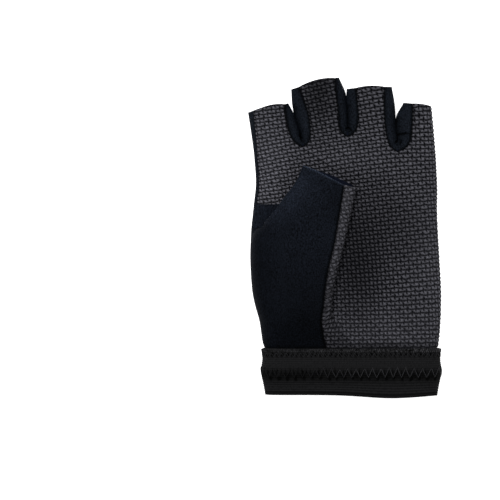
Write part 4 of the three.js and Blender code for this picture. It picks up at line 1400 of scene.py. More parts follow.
@dataclass(frozen=True)
class RibbedElastic(Facing):
    """Woven elastic with ribs along it: the eye sees dull charcoal with fine darker lines round the wrist.

    Along three rows beside the stitches the cloth is drawn in, and painted shadow marks it with small dark
    spots and painted shade darkens it there. The ribs, whose grooves are darkened by painted shade, show most
    below them, and two dark lines run along the hem.
    """

    rib: float = 1.2
    # groove: the colour of the ribs' grooves, painted shade
    groove: str = "#0b0b0c"
    # The colour of the painted shadow by the stitches, of the painted shade round the band and of the hem's
    # dark lines
    shadow_and_hem_colour: str = "#020202"
    stitch_shadows: tuple = ()
    shade_bands: tuple = ()
    wander: float = 2.2
    other_place: tuple = (31.0, 17.0, 0.0)
    free_from: float = 76.0
    bound: float = 0.3
    hems: tuple = (81.9, 83.1)
    hem_line: float = 0.28
    bump: float = 0.2

    def material(self) -> Material:
        """Ribs on the band's own map, whose second value is the distance down, and fine cross threads.

        Each row of stitch shadows, painted shadow, is (period, distance down, half width, half height), in bell
        curves that a noise moves a little. Each band of painted shade is a dark line all round, (distance down,
        half height, depth).

        Returns:
            The material.
        """
        material, tree = self.start()
        place = add(tree, "ShaderNodeUVMap", uv_map="cloth")
        u, v = (add(tree, "ShaderNodeSeparateXYZ", {0: place}, k) for k in (0, 1))
        drawn = add(tree, "ShaderNodeMapping", {"Vector": place, "Scale": (1.6, 0.55, 1.0)})
        aside = add(tree, "ShaderNodeMapping", {"Vector": place, "Location": self.other_place})
        work = Formulas(tree, **vars(self), u=u, v=v, waves=2 * math.pi / self.rib, dark=0.0,
                        thread=noise(tree, drawn, 1.0, 3.0), uneven=noise(tree, place, 0.35, 2.0),
                        other=noise(tree, aside, 0.45, 1.0))
        work.let("ribs", "v waves MULTIPLY COSINE 0.5 MULTIPLY 0.5 ADD")
        work.let("free", "v free_from SUBTRACT 0 MAXIMUM 1 MINIMUM 1 bound SUBTRACT MULTIPLY bound ADD")
        # shade: how far toward the groove colour, painted shade in the ribs' grooves broken by the threads'
        # grain
        shade = work.let("shade", "ribs 0.6 MULTIPLY free MULTIPLY thread 0.5 SUBTRACT 2.4 MULTIPLY SUBTRACT "
                         "0 MAXIMUM 1 MINIMUM")
        # Painted shadow beside the stitches, in rows of dark marks
        for period, down, half_width, half_height in self.stitch_shadows:
            work.let("across", "u other 0.5 SUBTRACT wander MULTIPLY ADD period DIVIDE FRACT 0.5 SUBTRACT "
                     "period MULTIPLY wide DIVIDE", period=period, wide=half_width)
            work.let("up", "v down SUBTRACT uneven 0.5 SUBTRACT wander MULTIPLY ADD high DIVIDE",
                     down=down, high=half_height)
            work.let("dark", "across 2 POWER up 2 POWER ADD -1 MULTIPLY EXPONENT other 0.8 ADD MULTIPLY dark "
                     "MAXIMUM")
        # Painted shade all round the band
        for down, half_height, depth in self.shade_bands:
            work.let("dark", "v down SUBTRACT high DIVIDE 2 POWER -1 MULTIPLY EXPONENT uneven 0.5 ADD "
                     "MULTIPLY depth MULTIPLY dark MAXIMUM", down=down, high=half_height, depth=depth)
        for down in self.hems:
            work.let("dark", "v down SUBTRACT hem_line DIVIDE 2 POWER -1 MULTIPLY EXPONENT dark MAXIMUM",
                     down=down)
        height = work.let("height", "1 ribs SUBTRACT thread 0.5 MULTIPLY ADD")
        ribbed = blend(tree, shade, linear(self.outer), linear(self.groove))
        lined = blend(tree, work.known["dark"], ribbed, linear(self.shadow_and_hem_colour))
        bump = add(tree, "ShaderNodeBump", {"Height": height, "Strength": 0.6, "Distance": self.bump * MM})
        self.shade(tree, {"Base Color": self.sided(tree, lined), "Roughness": 0.8, "Normal": bump,
                          "Specular IOR Level": 0.02})
        return material


@dataclass(frozen=True)
class SewingThread(Finish):
    """Twisted polyester thread: the eye sees a fine cord with a slight shine, darkened toward the thumb by
    painted shade.
    """

    twist: float = 1.3
    shine: float = 0.05
    lumps: float = 0.8
    # Painted shade toward the thumb: the share of the colour at left_at, rising to all of it at right_at
    left_tone: float = 1.0
    left_at: float = -45.0
    right_at: float = 45.0

    def material(self) -> Material:
        """One colour with the twist's small changes of tone, darkened by painted shade that lifts across the
        glove to the right.

        Returns:
            The material.
        """
        material, tree = self.start()
        place = add(tree, "ShaderNodeTexCoord", out="Object")
        twisted = noise(tree, place, 1 / (self.twist * MM), 1.0)
        x = add(tree, "ShaderNodeSeparateXYZ", {0: place}, 0)
        work = Formulas(tree, **vars(self), twisted=twisted, x=x, left=self.left_at * MM,
                        width=(self.right_at - self.left_at) * MM)
        share = work.let("share", "twisted 0.5 SUBTRACT lumps MULTIPLY 1 ADD 0 MAXIMUM x left SUBTRACT width "
                         "DIVIDE 0 MAXIMUM 1 MINIMUM 1 left_tone SUBTRACT MULTIPLY left_tone ADD MULTIPLY")
        self.shade(tree, {"Base Color": self.scaled(tree, share), "Roughness": 0.6,
                          "Specular IOR Level": self.shine})
        return material


# How light each cloth is over the glove: painted light and shade
GRIP_PAINTED_LIGHT = LightAndClosurePatches(0.93, (
    (24, 4, 20, 24, 0.55),
    (6, -12, 15, 34, 0.3),
    (24, -57.8, 44, 2.2, 0.3),
    (-8, 46, 22, 9, 1.02),
    (-40, 34, 12, 22, 1.27),
    (-14, 78, 11, 22, 0.29),
    (14, 76, 10, 18, 0.77),
    (44, 62, 8, 14, 0.93),
    (36, -42, 14, 14, 0.74),
))

# Here the tone is the share by which the gaps between the pads are closed
GRIP_SOFTNESS = LightAndClosurePatches(0.0, (
    (30, -54, 60, 17, 0.17),
    (46, -10, 14, 40, 0.12),
    (-42, 45, 14, 26, 0.1),
    (0, 42, 30, 8, 0.07),
))

# Painted light and shade on the strip beside the thumb fold, and on the thumb's plain side
STRIP_PAINTED_LIGHT = LightAndClosurePatches(0.76, (
    (0, -30, 30, 13, 0.44),
    (0, -45, 30, 7, 0.6),
    (0, -60, 30, 9, 0.34),
))
THUMB_PAINTED_LIGHT = LightAndClosurePatches(1.0, (
    (-20, -50, 40, 44, 0.3),
    (-20, -58.6, 44, 1.5, 0.1),
    (-46, -20, 10, 40, 0.45),
    (-4, 20, 7, 18, 0.6),
    (-25, 28.5, 6, 7, 1.5),
    (-29.5, 21.5, 5.5, 7, 1.6),
    (-37, 13, 5, 6, 1.25),
))

LINING = "#090c16"
GRIP_CLOTH = BasketWeave("basket weave grip cloth", "#414146", "#232327", LINING)
BACK_NEOPRENE = JerseyNeoprene("jersey faced neoprene", "#0e1116", "#181b21", LINING)
THUMB_NEOPRENE = JerseyNeoprene("thumb neoprene", "#0d1016", "#343945", LINING)
SLOT_NEOPRENE = JerseyNeoprene("slot neoprene", "#0d1015", "#191c24", LINING)
ELASTIC_BAND = RibbedElastic("ribbed elastic", "#171718", "#131315", "#141416",
                             stitch_shadows=((4.35, 74.2, 1.3, 1.9), (2.175, 71.4, 0.4, 2.0), (2.6, 62.2, 0.8, 1.2)),
                             shade_bands=((73.1, 3.3, 0.85), (62.0, 1.3, 0.2)))
DARK_THREAD = SewingThread("dark sewing thread", "#1b1b1d")
EDGING_THREAD = SewingThread("edging thread", "#272729", lumps=6.0, left_tone=0.4)
PALE_THREAD = SewingThread("pale sewing thread", "#242426", left_tone=0.22, left_at=-22.0, right_at=6.0)


def dress(made: Object, finish: Finish, slot: str, *nodes: str) -> Object:
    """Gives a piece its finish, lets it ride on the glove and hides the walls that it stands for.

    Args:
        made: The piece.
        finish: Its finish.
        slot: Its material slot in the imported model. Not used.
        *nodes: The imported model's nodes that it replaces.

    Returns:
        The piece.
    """
    known = bpy.data.materials.get(finish.name)
    made.data.materials.append(known or finish.material())
    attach(made, "root")
    if nodes:
        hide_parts(*nodes)
    LOG.info("%s: %d faces", made.name, len(made.data.polygons))
    return made


# Pieces

# The lower hand's rows: how many lie in the band and close to the crotch, and how those crowd in their reach
ROWS_IN_BAND = 8
CLOSE_ROWS = 12
CLOSE_REACH = 3.4
CLOSE_POWER = 1.6

# How the thumb's rows crowd toward its crotch
THUMB_POWER = 1.25

# Painted shade: how much of its tone a cloth loses for each millimetre that it lies deeper, beside seams and in
# creases
SEAM_SHADE = 1.9


def lower_rows(count: int) -> Array:
    """The y of the lower hand's rows: a few in the band, even ones above it, closer ones at the crotch."""
    inside = np.linspace(PANEL_END, BAND_TOP, ROWS_IN_BAND + 1)[:-1]
    even = np.linspace(BAND_TOP, CROTCH[1] - CLOSE_REACH, count)
    near = CROTCH[1] - CLOSE_REACH * (1 - np.linspace(0, 1, CLOSE_ROWS + 1)[1:]) ** CLOSE_POWER
    return np.concatenate([inside, even, near])


def sunk_seams(points: Array, first: bool, last: bool, depth: float = 0.48, reach: float = 1.0) -> Array:
    """How far a cloth is drawn in beside the seams along its first and last columns, as two bell curves.

    Args:
        points: Rows by columns of points.
        first: Whether the first column is a seam.
        last: Whether the last column is a seam.
        depth: How deep the seam lies.
        reach: How far from the seam the cloth is drawn in.

    Returns:
        The lift of each point, which is negative near a seam.
    """
    travelled = travelled_across(points)
    lift = np.zeros(points.shape[:2])
    if first:
        lift -= depth * np.exp(-((travelled / reach) ** 2))
    if last:
        lift -= depth * np.exp(-(((travelled[:, -1:] - travelled) / reach) ** 2))
    return lift


# The tilt of the weave's rows in degrees, for each y of the levels and each x of the lines, and the whole
# millimetres on which it is summed
TILT_LEVELS = (-73, -42, -16, 9, 34, 45, 58, 70, 85)
TILT_LINES = (-40, -10, 14, 36)
ROW_TILTS = (
    (0, 0, 0, 0),
    (1, 1, 1.2, 2.3),
    (4.4, 4.4, 4.6, 4.8),
    (6.2, 6.2, 6, 5.6),
    (12, 8, 6, 4.4),
    (13, 9, 7.6, 1),
    (7.5, 10.5, 9, 2.6),
    (7, 12.9, 10.2, 3),
    (7, 14, 11, 3),
)
TILT_X = np.arange(-64.0, 65.0)
TILT_Y = np.arange(-76.0, 97.0)

# Waves that move the threads, as radians per millimetre across and along the cloth, and a turn
THREAD_WAVES = ((1.31, 0.47, 0.3), (-0.62, 1.13, 2.1), (1.87, -0.94, 4.4),
                (0.53, 1.42, 1.2), (-1.21, 0.71, 5.0), (0.88, -1.93, 3.3))


@dataclass
class GripPanel:
    """The palm, the four finger fronts and the thumb's inner side, cut from one piece of grip cloth."""

    relief: float = 0.5
    relief_top: float = 0.4
    relief_wider: float = 1.7
    drop_from: float = 0.6
    drop_share: float = 0.8
    right_crest: float = 0.6 * HALF_WIDTH
    left_crest: float = -0.8 * HALF_WIDTH
    closer_by: float = 1.1
    closer_from: float = 43.0
    closer_over: float = 16.0
    unevenness: float = 0.09
    seam_reach: float = 0.7
    strip_meets: float = -38.0
    strip_blend: float = 24.0
    strip_closed: float = 0.36
    strip_turn: float = math.radians(24)
    # Painted light and shade over the palm and fingers, and over the strip by the thumb
    painted_light: LightAndClosurePatches = GRIP_PAINTED_LIGHT
    thumb_painted_light: LightAndClosurePatches = STRIP_PAINTED_LIGHT
    softness: LightAndClosurePatches = GRIP_SOFTNESS
    weave: BasketWeave = GRIP_CLOTH
    columns: Columns = Columns(little=60, ring=62, middle=58, index=54, valley=6, facing=54, turn=20, strip=3,
                               side=20)
    hand_rows: int = 150
    upper_rows: int = 104
    finger_rows: int = 74
    thumb_rows: int = 80

    def turned(self, x: Array, y: Array) -> tuple[Array, Array]:
        """How far the cloth's rows have risen and its columns leant at each place, from the table of tilts.

        The rise is the tilt's integral over x from x = 0. The lean is its integral over y from y = 0. Both
        are summed over whole millimetres and read between the four nearest places.

        Args:
            x: Plan x.
            y: Plan y.

        Returns:
            The rise and the lean at each point.
        """
        levels = np.radians([np.interp(TILT_X, TILT_LINES, tilts) for tilts in ROW_TILTS])
        tilt = np.stack([np.interp(TILT_Y, TILT_LEVELS, line) for line in levels.T], axis=1)
        rise = np.cumsum(tilt, axis=1)
        rise -= rise[:, [len(TILT_X) // 2]]
        lean = np.cumsum(tilt, axis=0)
        lean -= lean[[np.argmin(np.abs(TILT_Y))]]
        column = np.clip(x - TILT_X[0], 0, len(TILT_X) - 1.001)
        line = np.clip(y - TILT_Y[0], 0, len(TILT_Y) - 1.001)
        c, r = column.astype(int), line.astype(int)
        low = (mix(summed[r, c], summed[r, c + 1], column - c) for summed in (rise, lean))
        high = (mix(summed[r + 1, c], summed[r + 1, c + 1], column - c) for summed in (rise, lean))
        return tuple(mix(below, above, line - r) for below, above in zip(low, high))

    def tilted(self, points: Array) -> Array:
        """Each point's place on the cloth, whose rows rise toward the little finger, most at the fingertips.

        Beyond the crest the cloth goes on down the edge, which adds a share of the drop to the way across.

        Args:
            points: Rows by columns of points.

        Returns:
            The places, rows by columns.
        """
        x, y, z = np.moveaxis(points, -1, 0)
        rise, lean = self.turned(x, y)
        drop = np.clip(PALM_HEIGHT - self.drop_from - z, 0, None) * self.drop_share
        beyond = np.where(x > self.right_crest, drop, np.where(x < self.left_crest, -drop, 0.0))
        closer = self.closer_by * smooth((y - self.closer_from) / self.closer_over)
        return np.stack([x + beyond + lean, y - rise + closer], axis=-1)

    def handmade(self, cloth: Array) -> Array:
        """The places on the cloth, each moved a little by sine waves of odd lengths and turns."""
        u, v = np.moveaxis(cloth, -1, 0)
        waves = [np.sin(u * k + v * m + turn) for k, m, turn in THREAD_WAVES]
        return cloth + self.unevenness * np.stack([sum(waves[:3]), sum(waves[3:])], axis=-1)

    def along_fold(self, points: Array) -> Array:
        """The thumb front's places on the cloth: across the fold and along it, turned by the bias cut.

        Args:
            points: Rows by columns of points, of which the last column is the strip's seam.

        Returns:
            The places, rows by columns.
        """
        across = travelled_across(points)
        across = across[:, -1:] - across
        down = travelled_across(points[None, :, -1])[0][:, None]
        cos, sin = math.cos(self.strip_turn), math.sin(self.strip_turn)
        return np.stack([across * cos + down * sin, down * cos - across * sin], axis=-1)

    def sew(self, skin: Skin, tag: str, points: Array, cloth: Array, first: bool, last: bool,
            closed: Array | float = 0.0) -> None:
        """Adds a grid, whose pads stand up between the weave's gaps, sunk beside its seams and darkened there
        by painted shade.

        Args:
            skin: The skin.
            tag: The piece that the grid belongs to.
            points: Rows by columns of points.
            cloth: Their places on the cloth.
            first: Whether the first column is a seam.
            last: Whether the last column is a seam.
            closed: How far the cloth's gaps are closed by a bend. Soft cloth closes a share of the rest.
        """
        sunk = sunk_seams(points, first, last, reach=self.seam_reach)
        cloth = self.handmade(cloth)
        soft = self.softness.tone(points.reshape(-1, 3)).reshape(points.shape[:-1])
        closed = mix(closed, 1, soft)
        relief = self.relief * (self.relief_top - self.weave.gaps(cloth, self.relief_wider))
        skin.add(tag, points, cloth, relief * (1 - closed) + sunk, 1 + SEAM_SHADE * sunk, closed)

    def run_on(self, fold: Array, along_it: Array, palm_edge: Array) -> tuple[Array, Array]:
        """The fold's places on the cloth, which near the wrist run on from the palm's without a seam.

        There a point's place is that of the palm's edge in its row, less the distance travelled from it.
        Higher up it is its place along the fold, moved so that both agree where one gives way to the other.

        Args:
            fold: The fold's points.
            along_it: The fold's places along itself.
            palm_edge: The palm's last column.

        Returns:
            The places, rows by columns, and how far those along the fold were moved.
        """
        own_y = palm_edge[:, 1]
        offset = np.stack([-travelled_across(fold), fold[..., 1] - own_y[:, None]], axis=-1)
        on = self.tilted(palm_edge[:, None]) + offset
        meet = np.argmin(np.abs(own_y - self.strip_meets))
        moved = on[meet, -1] - along_it[meet, -1]
        share = smooth((own_y - self.strip_meets) / self.strip_blend + 0.5)[:, None, None]
        return mix(on, along_it + moved, share), moved

    def sew_thumb(self, skin: Skin, fold: Array, thumb: Array, palm_edge: Array) -> None:
        """Adds the fold below the crotch and the thumb's front beyond it.

        Toward the strip's seam the bend closes the weave's gaps, more and more from the wrist up.

        Args:
            skin: The skin.
            fold: The fold's points, from the palm's edge to the strip's seam.
            thumb: The thumb front's points, which go on from the fold's last row beyond the valley.
            palm_edge: The palm's last column.
        """
        columns = self.columns
        valley = fold[-1:, : columns.valley].repeat(len(thumb) - 1, 0)
        whole = np.concatenate([fold, np.concatenate([valley, thumb[1:]], axis=1)])
        places = self.along_fold(whole)
        fold_places, moved = self.run_on(fold, places[: len(fold)], palm_edge)
        thumb_places = places[len(fold) - 1 :, columns.valley :] + moved
        for points, own in ((fold, fold_places), (thumb, thumb_places)):
            count = points.shape[1]
            last_share = (columns.turn + columns.strip) / count
            over_fold = np.arange(count) / (count - 1)
            bent = smooth((over_fold - 1 + last_share) / (0.5 * last_share))[None, :]
            high = smooth((points[:, :1, 1] - self.strip_meets) / self.strip_blend + 0.5)
            self.sew(skin, "thumb_cloth", points, own, False, True, self.strip_closed * bent * high)

    def build(self) -> list[Object]:
        """Builds the four pieces of the panel, whose cloth runs on from one to the next.

        Returns:
            The pieces.
        """
        columns = self.columns
        lower = LowerHand(lower_rows(self.hand_rows), columns)
        palm = lower.palm()
        fold = joined(lower.fold(), lower.strip())

        part = np.linspace(0, 1, self.upper_rows)
        part[np.argmin(np.abs(part - WEB_PART))] = WEB_PART
        upper = UpperHand(part, columns)
        above = upper.palm()
        above[0] = np.concatenate([palm[-1], fold[-1, 1 : columns.valley + 1]])
        web = upper.web()[part >= WEB_PART]
        knuckles = joined(above[-1:], web[-1:])[0]
        back = UpperHand([1.0], columns).back()[0]
        fingers = Fingers(np.linspace(0, 1, self.finger_rows), knuckles, back, columns)
        thumb = Thumb(np.linspace(0, 1, self.thumb_rows) ** THUMB_POWER, columns)

        skin = Skin()
        for tag, points in (("palm_cloth", palm), ("knuckle_cloth", above), ("knuckle_cloth", web)):
            self.sew(skin, tag, points, self.tilted(points), False, points is web)
        for finger in Finger:
            points = fingers.surface(finger, True)
            self.sew(skin, "finger_cloth", points, self.tilted(points), finger is not Finger.LITTLE, True)
        self.sew_thumb(skin, fold, thumb.cloth(fold[-1, columns.valley :]), palm[:, -1])
        skin.weld()
        pieces = (("palm_cloth", self.painted_light), ("knuckle_cloth", self.painted_light), ("finger_cloth", self.painted_light),
                  ("thumb_cloth", self.thumb_painted_light))
        made = [walled(tag, skin.piece(tag), NEOPRENE, painted_light) for tag, painted_light in pieces]
        return [dress(piece, self.weave, "grip_cloth", "palm_panel") for piece in made]


@dataclass
class BackPanel:
    """The back of the hand and fingers, one piece of neoprene that shows as a sliver by the index finger."""

    finish: JerseyNeoprene = BACK_NEOPRENE
    outline_depth: float = 0.8
    outline_reach: float = 2.6
    columns: Columns = Columns(little=22, ring=18, middle=18, side=4)
    hand_rows: int = 34
    upper_rows: int = 26
    finger_rows: int = 20

    def build(self) -> Object:
        """Builds the back from the wrist to the fingertips.

        Returns:
            The piece.
        """
        columns = self.columns
        lower = LowerHand(lower_rows(self.hand_rows), columns).back()
        upper = UpperHand(np.linspace(0, 1, self.upper_rows), columns)
        back = upper.back()
        back[0] = lower[-1]
        front = UpperHand([1.0], columns).front()[0]
        fingers = Fingers(np.linspace(0, 1, self.finger_rows), front, back[-1], columns)
        grids = [(lower, True), (back, True)]
        grids += [(fingers.surface(finger, False)[:, ::-1], finger is Finger.LITTLE) for finger in Finger]
        skin = Skin()
        for points, outline in grids:
            under = sunk_seams(points, False, outline, self.outline_depth, self.outline_reach)
            skin.add("back", points, lift=under)
        high = np.flatnonzero(upper.part[:, 0] >= WEB_PART)[0]
        skin.add("back", upper.wrap()[high:])
        skin.add("back", fingers.index_wrap(columns.wrap))
        skin.weld()
        made = walled("back_cloth", skin.piece("back"), NEOPRENE)
        return dress(made, self.finish, "plain_neoprene", "back_panel")


@dataclass
class ThumbPanel:
    """The thumb's plain outer side, and the small web between the thumb and the edge of the hand."""

    finish: JerseyNeoprene = THUMB_NEOPRENE
    # A painted highlight along the mouth's cut edge: how much it adds to the tone, and how far it reaches
    edge_highlight: float = 3.5
    edge_reach: float = 0.45
    web_drawn_in: float = 0.25
    columns: Columns = Columns(thumb_top=44, shoulder=16, side=14)
    hand_rows: int = 80
    thumb_rows: int = 50
    web_rows: int = 14

    def build(self) -> list[Object]:
        """Builds the thumb's side and the web. A painted highlight along the cut edge at the mouth is a bell
        curve of the tone.

        Returns:
            The two pieces.
        """
        columns = self.columns
        lower = LowerHand(lower_rows(self.hand_rows), columns)
        top, shoulder, side = lower.thumb_top(), lower.shoulder(), lower.side()
        hand = joined(top, shoulder, side)
        beyond = Thumb(np.linspace(0, 1, self.thumb_rows) ** THUMB_POWER, columns)
        thumb = beyond.neoprene(joined(top, shoulder)[-1])
        web = UpperHand(np.linspace(0, WEB_PART, self.web_rows), columns).web()
        web[0] = side[-1]

        # Painted shade beside the seams, and in hem a painted highlight along the mouth's cut edge
        sunk = sunk_seams(hand, True, True)
        sunk_beyond = sunk_seams(thumb, True, False)
        to_mouth = np.linalg.norm(thumb[-1] - thumb, axis=-1)
        hem = self.edge_highlight * np.exp(-((to_mouth / self.edge_reach) ** 2))
        skin = Skin()
        skin.add("thumb", hand, lift=sunk, shade=1 + SEAM_SHADE * sunk)
        skin.add("thumb", thumb, lift=sunk_beyond, shade=1 + SEAM_SHADE * sunk_beyond + hem)
        skin.add("web", web, lift=-self.web_drawn_in)
        skin.weld()
        plain = walled("thumb_cloth_plain", skin.piece("thumb"), NEOPRENE, THUMB_PAINTED_LIGHT)
        gusset = walled("web_cloth", skin.piece("web"), NEOPRENE)
        return [dress(plain, self.finish, "thumb_neoprene", "thumb_panel"),
                dress(gusset, self.finish, "thumb_neoprene", "thumb_web")]


@dataclass
class Fourchettes:
    """The strips of neoprene in the three slots, each rolled round its slot from fingertip to fingertip."""

    finish: JerseyNeoprene = SLOT_NEOPRENE
    rows: int = 110
    across: int = 56
    crowding: float = 1.2
    meeting_shade: float = 0.9
    meeting_power: float = 4.0
    legs_part: float = 0.74
    legs_blend: float = 0.1
    columns: Columns = Columns()

    def build(self) -> list[Object]:
        """Builds the three strips.

        Returns:
            The pieces.
        """
        knuckle = UpperHand([1.0], self.columns)
        shares = np.linspace(0, 1, self.rows) ** self.crowding
        fingers = Fingers(shares, knuckle.front()[0], knuckle.back()[0], self.columns)
        order = ((Finger.INDEX, Finger.MIDDLE), (Finger.MIDDLE, Finger.RING), (Finger.RING, Finger.LITTLE))
        return [self.strip(slot, fingers, shares, *pair) for slot, pair in zip(SLOTS, order)]

    def seam(self, fingers: Fingers, low: Finger, high: Finger, palm_side: bool) -> Array:
        """A slot's seam round from one fingertip to the other, on the palm or on the back.

        Args:
            fingers: The fingers.
            low: The finger at the slot's thumb side.
            high: The finger at its little-finger side.
            palm_side: True for the palm and False for the back.

        Returns:
            The seam's points.
        """
        sides = []
        for finger, column in ((low, 0), (high, 1)):
            own = (fingers.front if palm_side else fingers.rear)[finger][[0, -1]]
            sides.append(fingers.surface(finger, palm_side, own)[:, column])
        return np.concatenate([sides[0][::-1], sides[1][1:]])

    def strip(self, slot: Slot, fingers: Fingers, shares: Array, low: Finger, high: Finger) -> Object:
        """One strip: half an ellipse from the palm's seam to the back's, carried round the slot.

        Painted shade darkens it where its two legs face each other, and in its seams and creases.

        Args:
            slot: The slot's seams and swells.
            fingers: The fingers, whose sides are the strip's two seams.
            shares: Each row's place along a finger.
            low: The finger at the slot's thumb side.
            high: The finger at its little-finger side.

        Returns:
            The piece.
        """
        front = self.seam(fingers, low, high, True)
        rear = self.seam(fingers, low, high, False)
        low_leg, high_leg = (through(LEG_PLACES, leg, shares) for leg in (slot.low_leg, slot.high_leg))
        swell = np.concatenate([low_leg[::-1], high_leg[1:]])[:, None]
        run = np.gradient(front[:, :2], axis=0)
        run /= np.linalg.norm(run, axis=1, keepdims=True)
        angle = steps(self.across) * np.pi
        share = (1 - np.cos(angle)) / 2
        reach = swell * np.sin(angle)
        points = grid(
            mix(front[:, :1], rear[:, :1], share) - run[:, 1:] * reach,
            mix(front[:, 1:2], rear[:, 1:2], share) + run[:, :1] * reach,
            mix(front[:, 2:], rear[:, 2:], share),
        )
        lift = sunk_seams(points, True, True) + slot.creased(points)
        place = np.concatenate([shares[::-1], shares[1:]])[:, None]
        facing = smooth((self.legs_part - place) / self.legs_blend + 0.5)
        meeting = self.meeting_shade * np.sin(angle) ** self.meeting_power * facing
        # Painted shade in the seams and creases, and where the two legs meet
        shade = np.maximum(LEAST_SHADE, 1 + SEAM_SHADE * lift) * (1 - meeting)
        skin = Skin()
        skin.add("strip", points, lift=lift, shade=shade)
        skin.weld()
        made = walled(slot.name.replace("fourchette", "slot_strip"), skin.piece("strip"), NEOPRENE)
        return dress(made, self.finish, "plain_neoprene", slot.name)


@dataclass(frozen=True)
class Zigzag:
    """A row of zigzag stitches round the band: where it runs, how long a stitch is, and its thread."""

    name: str
    top: float
    bottom: float
    period: float
    radius: float
    uneven: float
    finish: SewingThread


ZIGZAGS = (
    Zigzag("edging_stitches", 58.75, 60.9, 1.1, 0.2, 0.15, EDGING_THREAD),
    Zigzag("upper_zigzag", 61.0, 63.4, 2.6, 0.16, 0.3, DARK_THREAD),
    Zigzag("main_zigzag", 68.6, 74.0, 4.35, 0.2, 1.4, PALE_THREAD),
)


@dataclass
class WristBand:
    """The ribbed elastic round the wrist, with its two rows of zigzag stitches and its edging."""

    finish: RibbedElastic = ELASTIC_BAND
    rows: int = 110
    rib_height: float = 0.09
    thread_room: float = 0.4
    thread_sides: int = 5
    samples: int = 8
    bedded: float = 0.6
    columns: Columns = Columns(little=26, ring=14, middle=14, index=12, facing=12, thumb_top=24, shoulder=14,
                               side=10)

    def ring(self, down: Array, stand_off: float) -> Array:
        """The band's section at each distance down: the panels' outline inside it, moved out.

        Args:
            down: Each row's distance down from y = 0.
            stand_off: How far the ring stands off the middle of the panels' wall, besides its own swell.

        Returns:
            The points, rows by columns, with the first column again as the last one.
        """
        lower = LowerHand(np.maximum(-down, PANEL_END), self.columns)
        fold = lower.fold()[:, 2 * self.columns.valley : -self.columns.turn]
        side = lower.side()[:, :-1]
        inner = joined(lower.back(), lower.palm(), fold, lower.thumb_top(), lower.shoulder(), side)
        run = np.roll(inner, -1, axis=1) - np.roll(inner, 1, axis=1)
        size = np.hypot(run[..., 0], run[..., 2])
        outward = stand_off + BAND.at(down).swell[:, None]
        x = inner[..., 0] + run[..., 2] / size * outward
        z = inner[..., 2] - run[..., 0] / size * outward
        share = smooth((down + PANEL_END) / (BAND_BOTTOM + PANEL_END))[:, None]
        dip = HEM_DIP * np.exp(-(((x - HEM_X) / HEM_REACH) ** 2))
        points = grid(x, -down[:, None] - dip * share, np.maximum(z, ELASTIC / 2 + self.thread_room))
        return np.concatenate([points, points[:, :1]], axis=1)

    def build(self) -> list[Object]:
        """Builds the band, whose ribs are a cosine wave in the distance down, and its stitches.

        Returns:
            The pieces.
        """
        down = np.linspace(-BAND_TOP - EDGING_RISE, BAND_BOTTOM, self.rows)
        stand_off = (NEOPRENE + ELASTIC) / 2 + BAND_GAP
        points = self.ring(down, stand_off)[::-1]
        step = np.linalg.norm(np.diff(points, axis=1), axis=-1).mean(axis=0)
        round_it = np.concatenate([[0.0], np.cumsum(step)])
        place = grid(round_it, down[::-1, None], 0.0)[..., :2]
        ribs = -self.rib_height * np.cos(2 * np.pi * place[..., 1] / self.finish.rib)
        skin = Skin()
        skin.add("band", points, place, ribs)
        skin.weld()
        made = walled("elastic_band", skin.piece("band"), ELASTIC)
        band = dress(made, self.finish, "ribbed_elastic", "wrist_band")
        return [band, *(self.stitches(row, points, round_it, down) for row in ZIGZAGS)]

    def stitches(self, row: Zigzag, points: Array, round_it: Array, down: Array) -> Object:
        """One row of zigzag stitches as a thread that lies on the band.

        Its path is a triangle wave in the distance round the band, whose height changes a little from stitch
        to stitch. Each point of it is read from the band's grid between the four points round it.

        Args:
            row: The stitches.
            points: The band's points, from its lower edge up.
            round_it: The distance round the band of each column.
            down: The distance down of each row, from the band's upper edge down.

        Returns:
            The piece.
        """
        count = round(round_it[-1] / row.period)
        phase = np.arange(count * self.samples + 1) / self.samples
        wave = np.abs(2 * (phase % 1) - 1)
        random = np.random.default_rng(count)
        top = row.top + row.uneven * random.random(count + 1)[np.minimum(phase.astype(int), count)]
        u = phase / count * round_it[-1]
        v = mix(row.bottom, top, wave)
        column = np.interp(u, round_it, np.arange(len(round_it)))
        line = len(down) - 1 - np.interp(v, down, np.arange(len(down)))
        c = np.minimum(column.astype(int), len(round_it) - 2)
        r = np.minimum(line.astype(int), len(down) - 2)
        across, up = (column - c)[:, None], (line - r)[:, None]
        corner = {(i, k): points[r + i, c + k] for i in (0, 1) for k in (0, 1)}
        low = mix(corner[0, 0], corner[0, 1], across)
        high = mix(corner[1, 0], corner[1, 1], across)
        out = np.cross(corner[0, 1] - corner[0, 0], corner[1, 0] - corner[0, 0])
        out *= -1 / np.linalg.norm(out, axis=1, keepdims=True)
        path = mix(low, high, up) + out * (ELASTIC / 2 + row.radius * self.bedded)
        path[:, 2] = np.maximum(path[:, 2], row.radius)
        return dress(cord(row.name, path, row.radius, self.thread_sides), row.finish, "ribbed_elastic")


# The studio


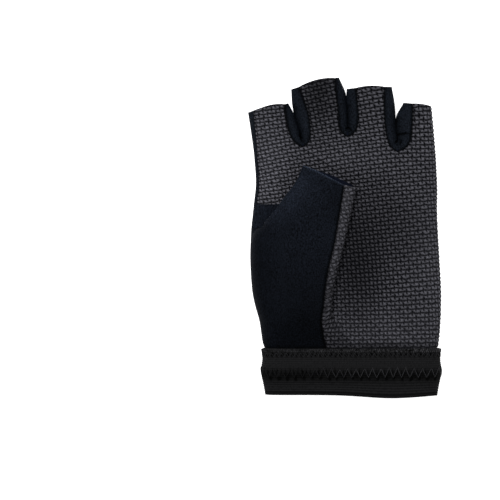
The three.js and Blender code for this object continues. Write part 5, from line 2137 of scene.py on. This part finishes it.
@dataclass
class Studio:
    """A pale floor, soft light from above and from the fingertips' side, and a camera straight above."""

    photo_pixels: int = 500
    pixel: float = 0.53
    centre: tuple[float, float] = (-50.3, -6.7)
    distance: float = 1.6
    sensor: float = 36.0
    floor_half: float = 3000.0
    paper: str = "#ffffff"
    glow: float = 0.75
    sky: float = 0.3
    lights: tuple = (("key", (-0.35, 0.6, 1.4), 24.0, 0.7), ("fill", (0.5, -0.2, 1.6), 11.0, 1.0))

    def build(self) -> None:
        """Builds the floor, the sky, the lights and the camera."""
        scene = bpy.context.scene
        corners = np.array([[-1, -1, 0], [1, -1, 0], [1, 1, 0], [-1, 1, 0]]) * self.floor_half
        floor = new_object("floor", corners, [[0, 1, 2, 3]])
        material = bpy.data.materials.new("white paper")
        material.use_nodes = True
        shader = material.node_tree.nodes["Principled BSDF"]
        values = {"Base Color": linear(self.paper), "Roughness": 0.9, "Emission Color": linear(self.paper),
                  "Emission Strength": self.glow}
        for name, value in values.items():
            shader.inputs[name].default_value = value
        floor.data.materials.append(material)

        world = bpy.data.worlds.new("studio")
        world.use_nodes = True
        background = world.node_tree.nodes["Background"]
        background.inputs["Color"].default_value = linear(self.paper)
        background.inputs["Strength"].default_value = self.sky
        scene.world = world
        for light in self.lights:
            self.light(*light)
        scene.view_settings.view_transform = "Standard"
        self.camera()

    def light(self, name: str, place: tuple, power: float, size: float) -> None:
        """A square soft light that faces the glove.

        Args:
            name: Its name.
            place: Where it hangs, in metres.
            power: Its power in watts.
            size: The length of its side.
        """
        data = bpy.data.lights.new(name, "AREA")
        data.energy, data.size = power, size
        lamp = bpy.data.objects.new(name, data)
        lamp.location = place
        x, y, z = place
        lamp.rotation_euler = (math.atan2(math.hypot(x, y), z), 0, math.atan2(x, -y))
        bpy.context.scene.collection.objects.link(lamp)

    def camera(self) -> None:
        """A long lens straight above the photo's centre, as wide as the photo at the height of the palm."""
        data = bpy.data.cameras.new("camera")
        data.sensor_width = self.sensor
        width = self.photo_pixels * self.pixel * MM
        data.lens = self.sensor * self.distance / width
        camera = bpy.data.objects.new("camera", data)
        x, y = self.centre
        camera.location = (x * MM, y * MM, self.distance + PALM_HEIGHT * MM)
        bpy.context.scene.collection.objects.link(camera)
        bpy.context.scene.camera = camera


def main() -> None:
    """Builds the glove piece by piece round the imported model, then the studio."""
    logging.basicConfig(level=logging.INFO, format="%(name)s: %(message)s")
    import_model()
    for assembly in (GripPanel(), BackPanel(), ThumbPanel(), Fourchettes(), WristBand()):
        assembly.build()
    Studio().build()


if __name__ == "__main__":
    main()
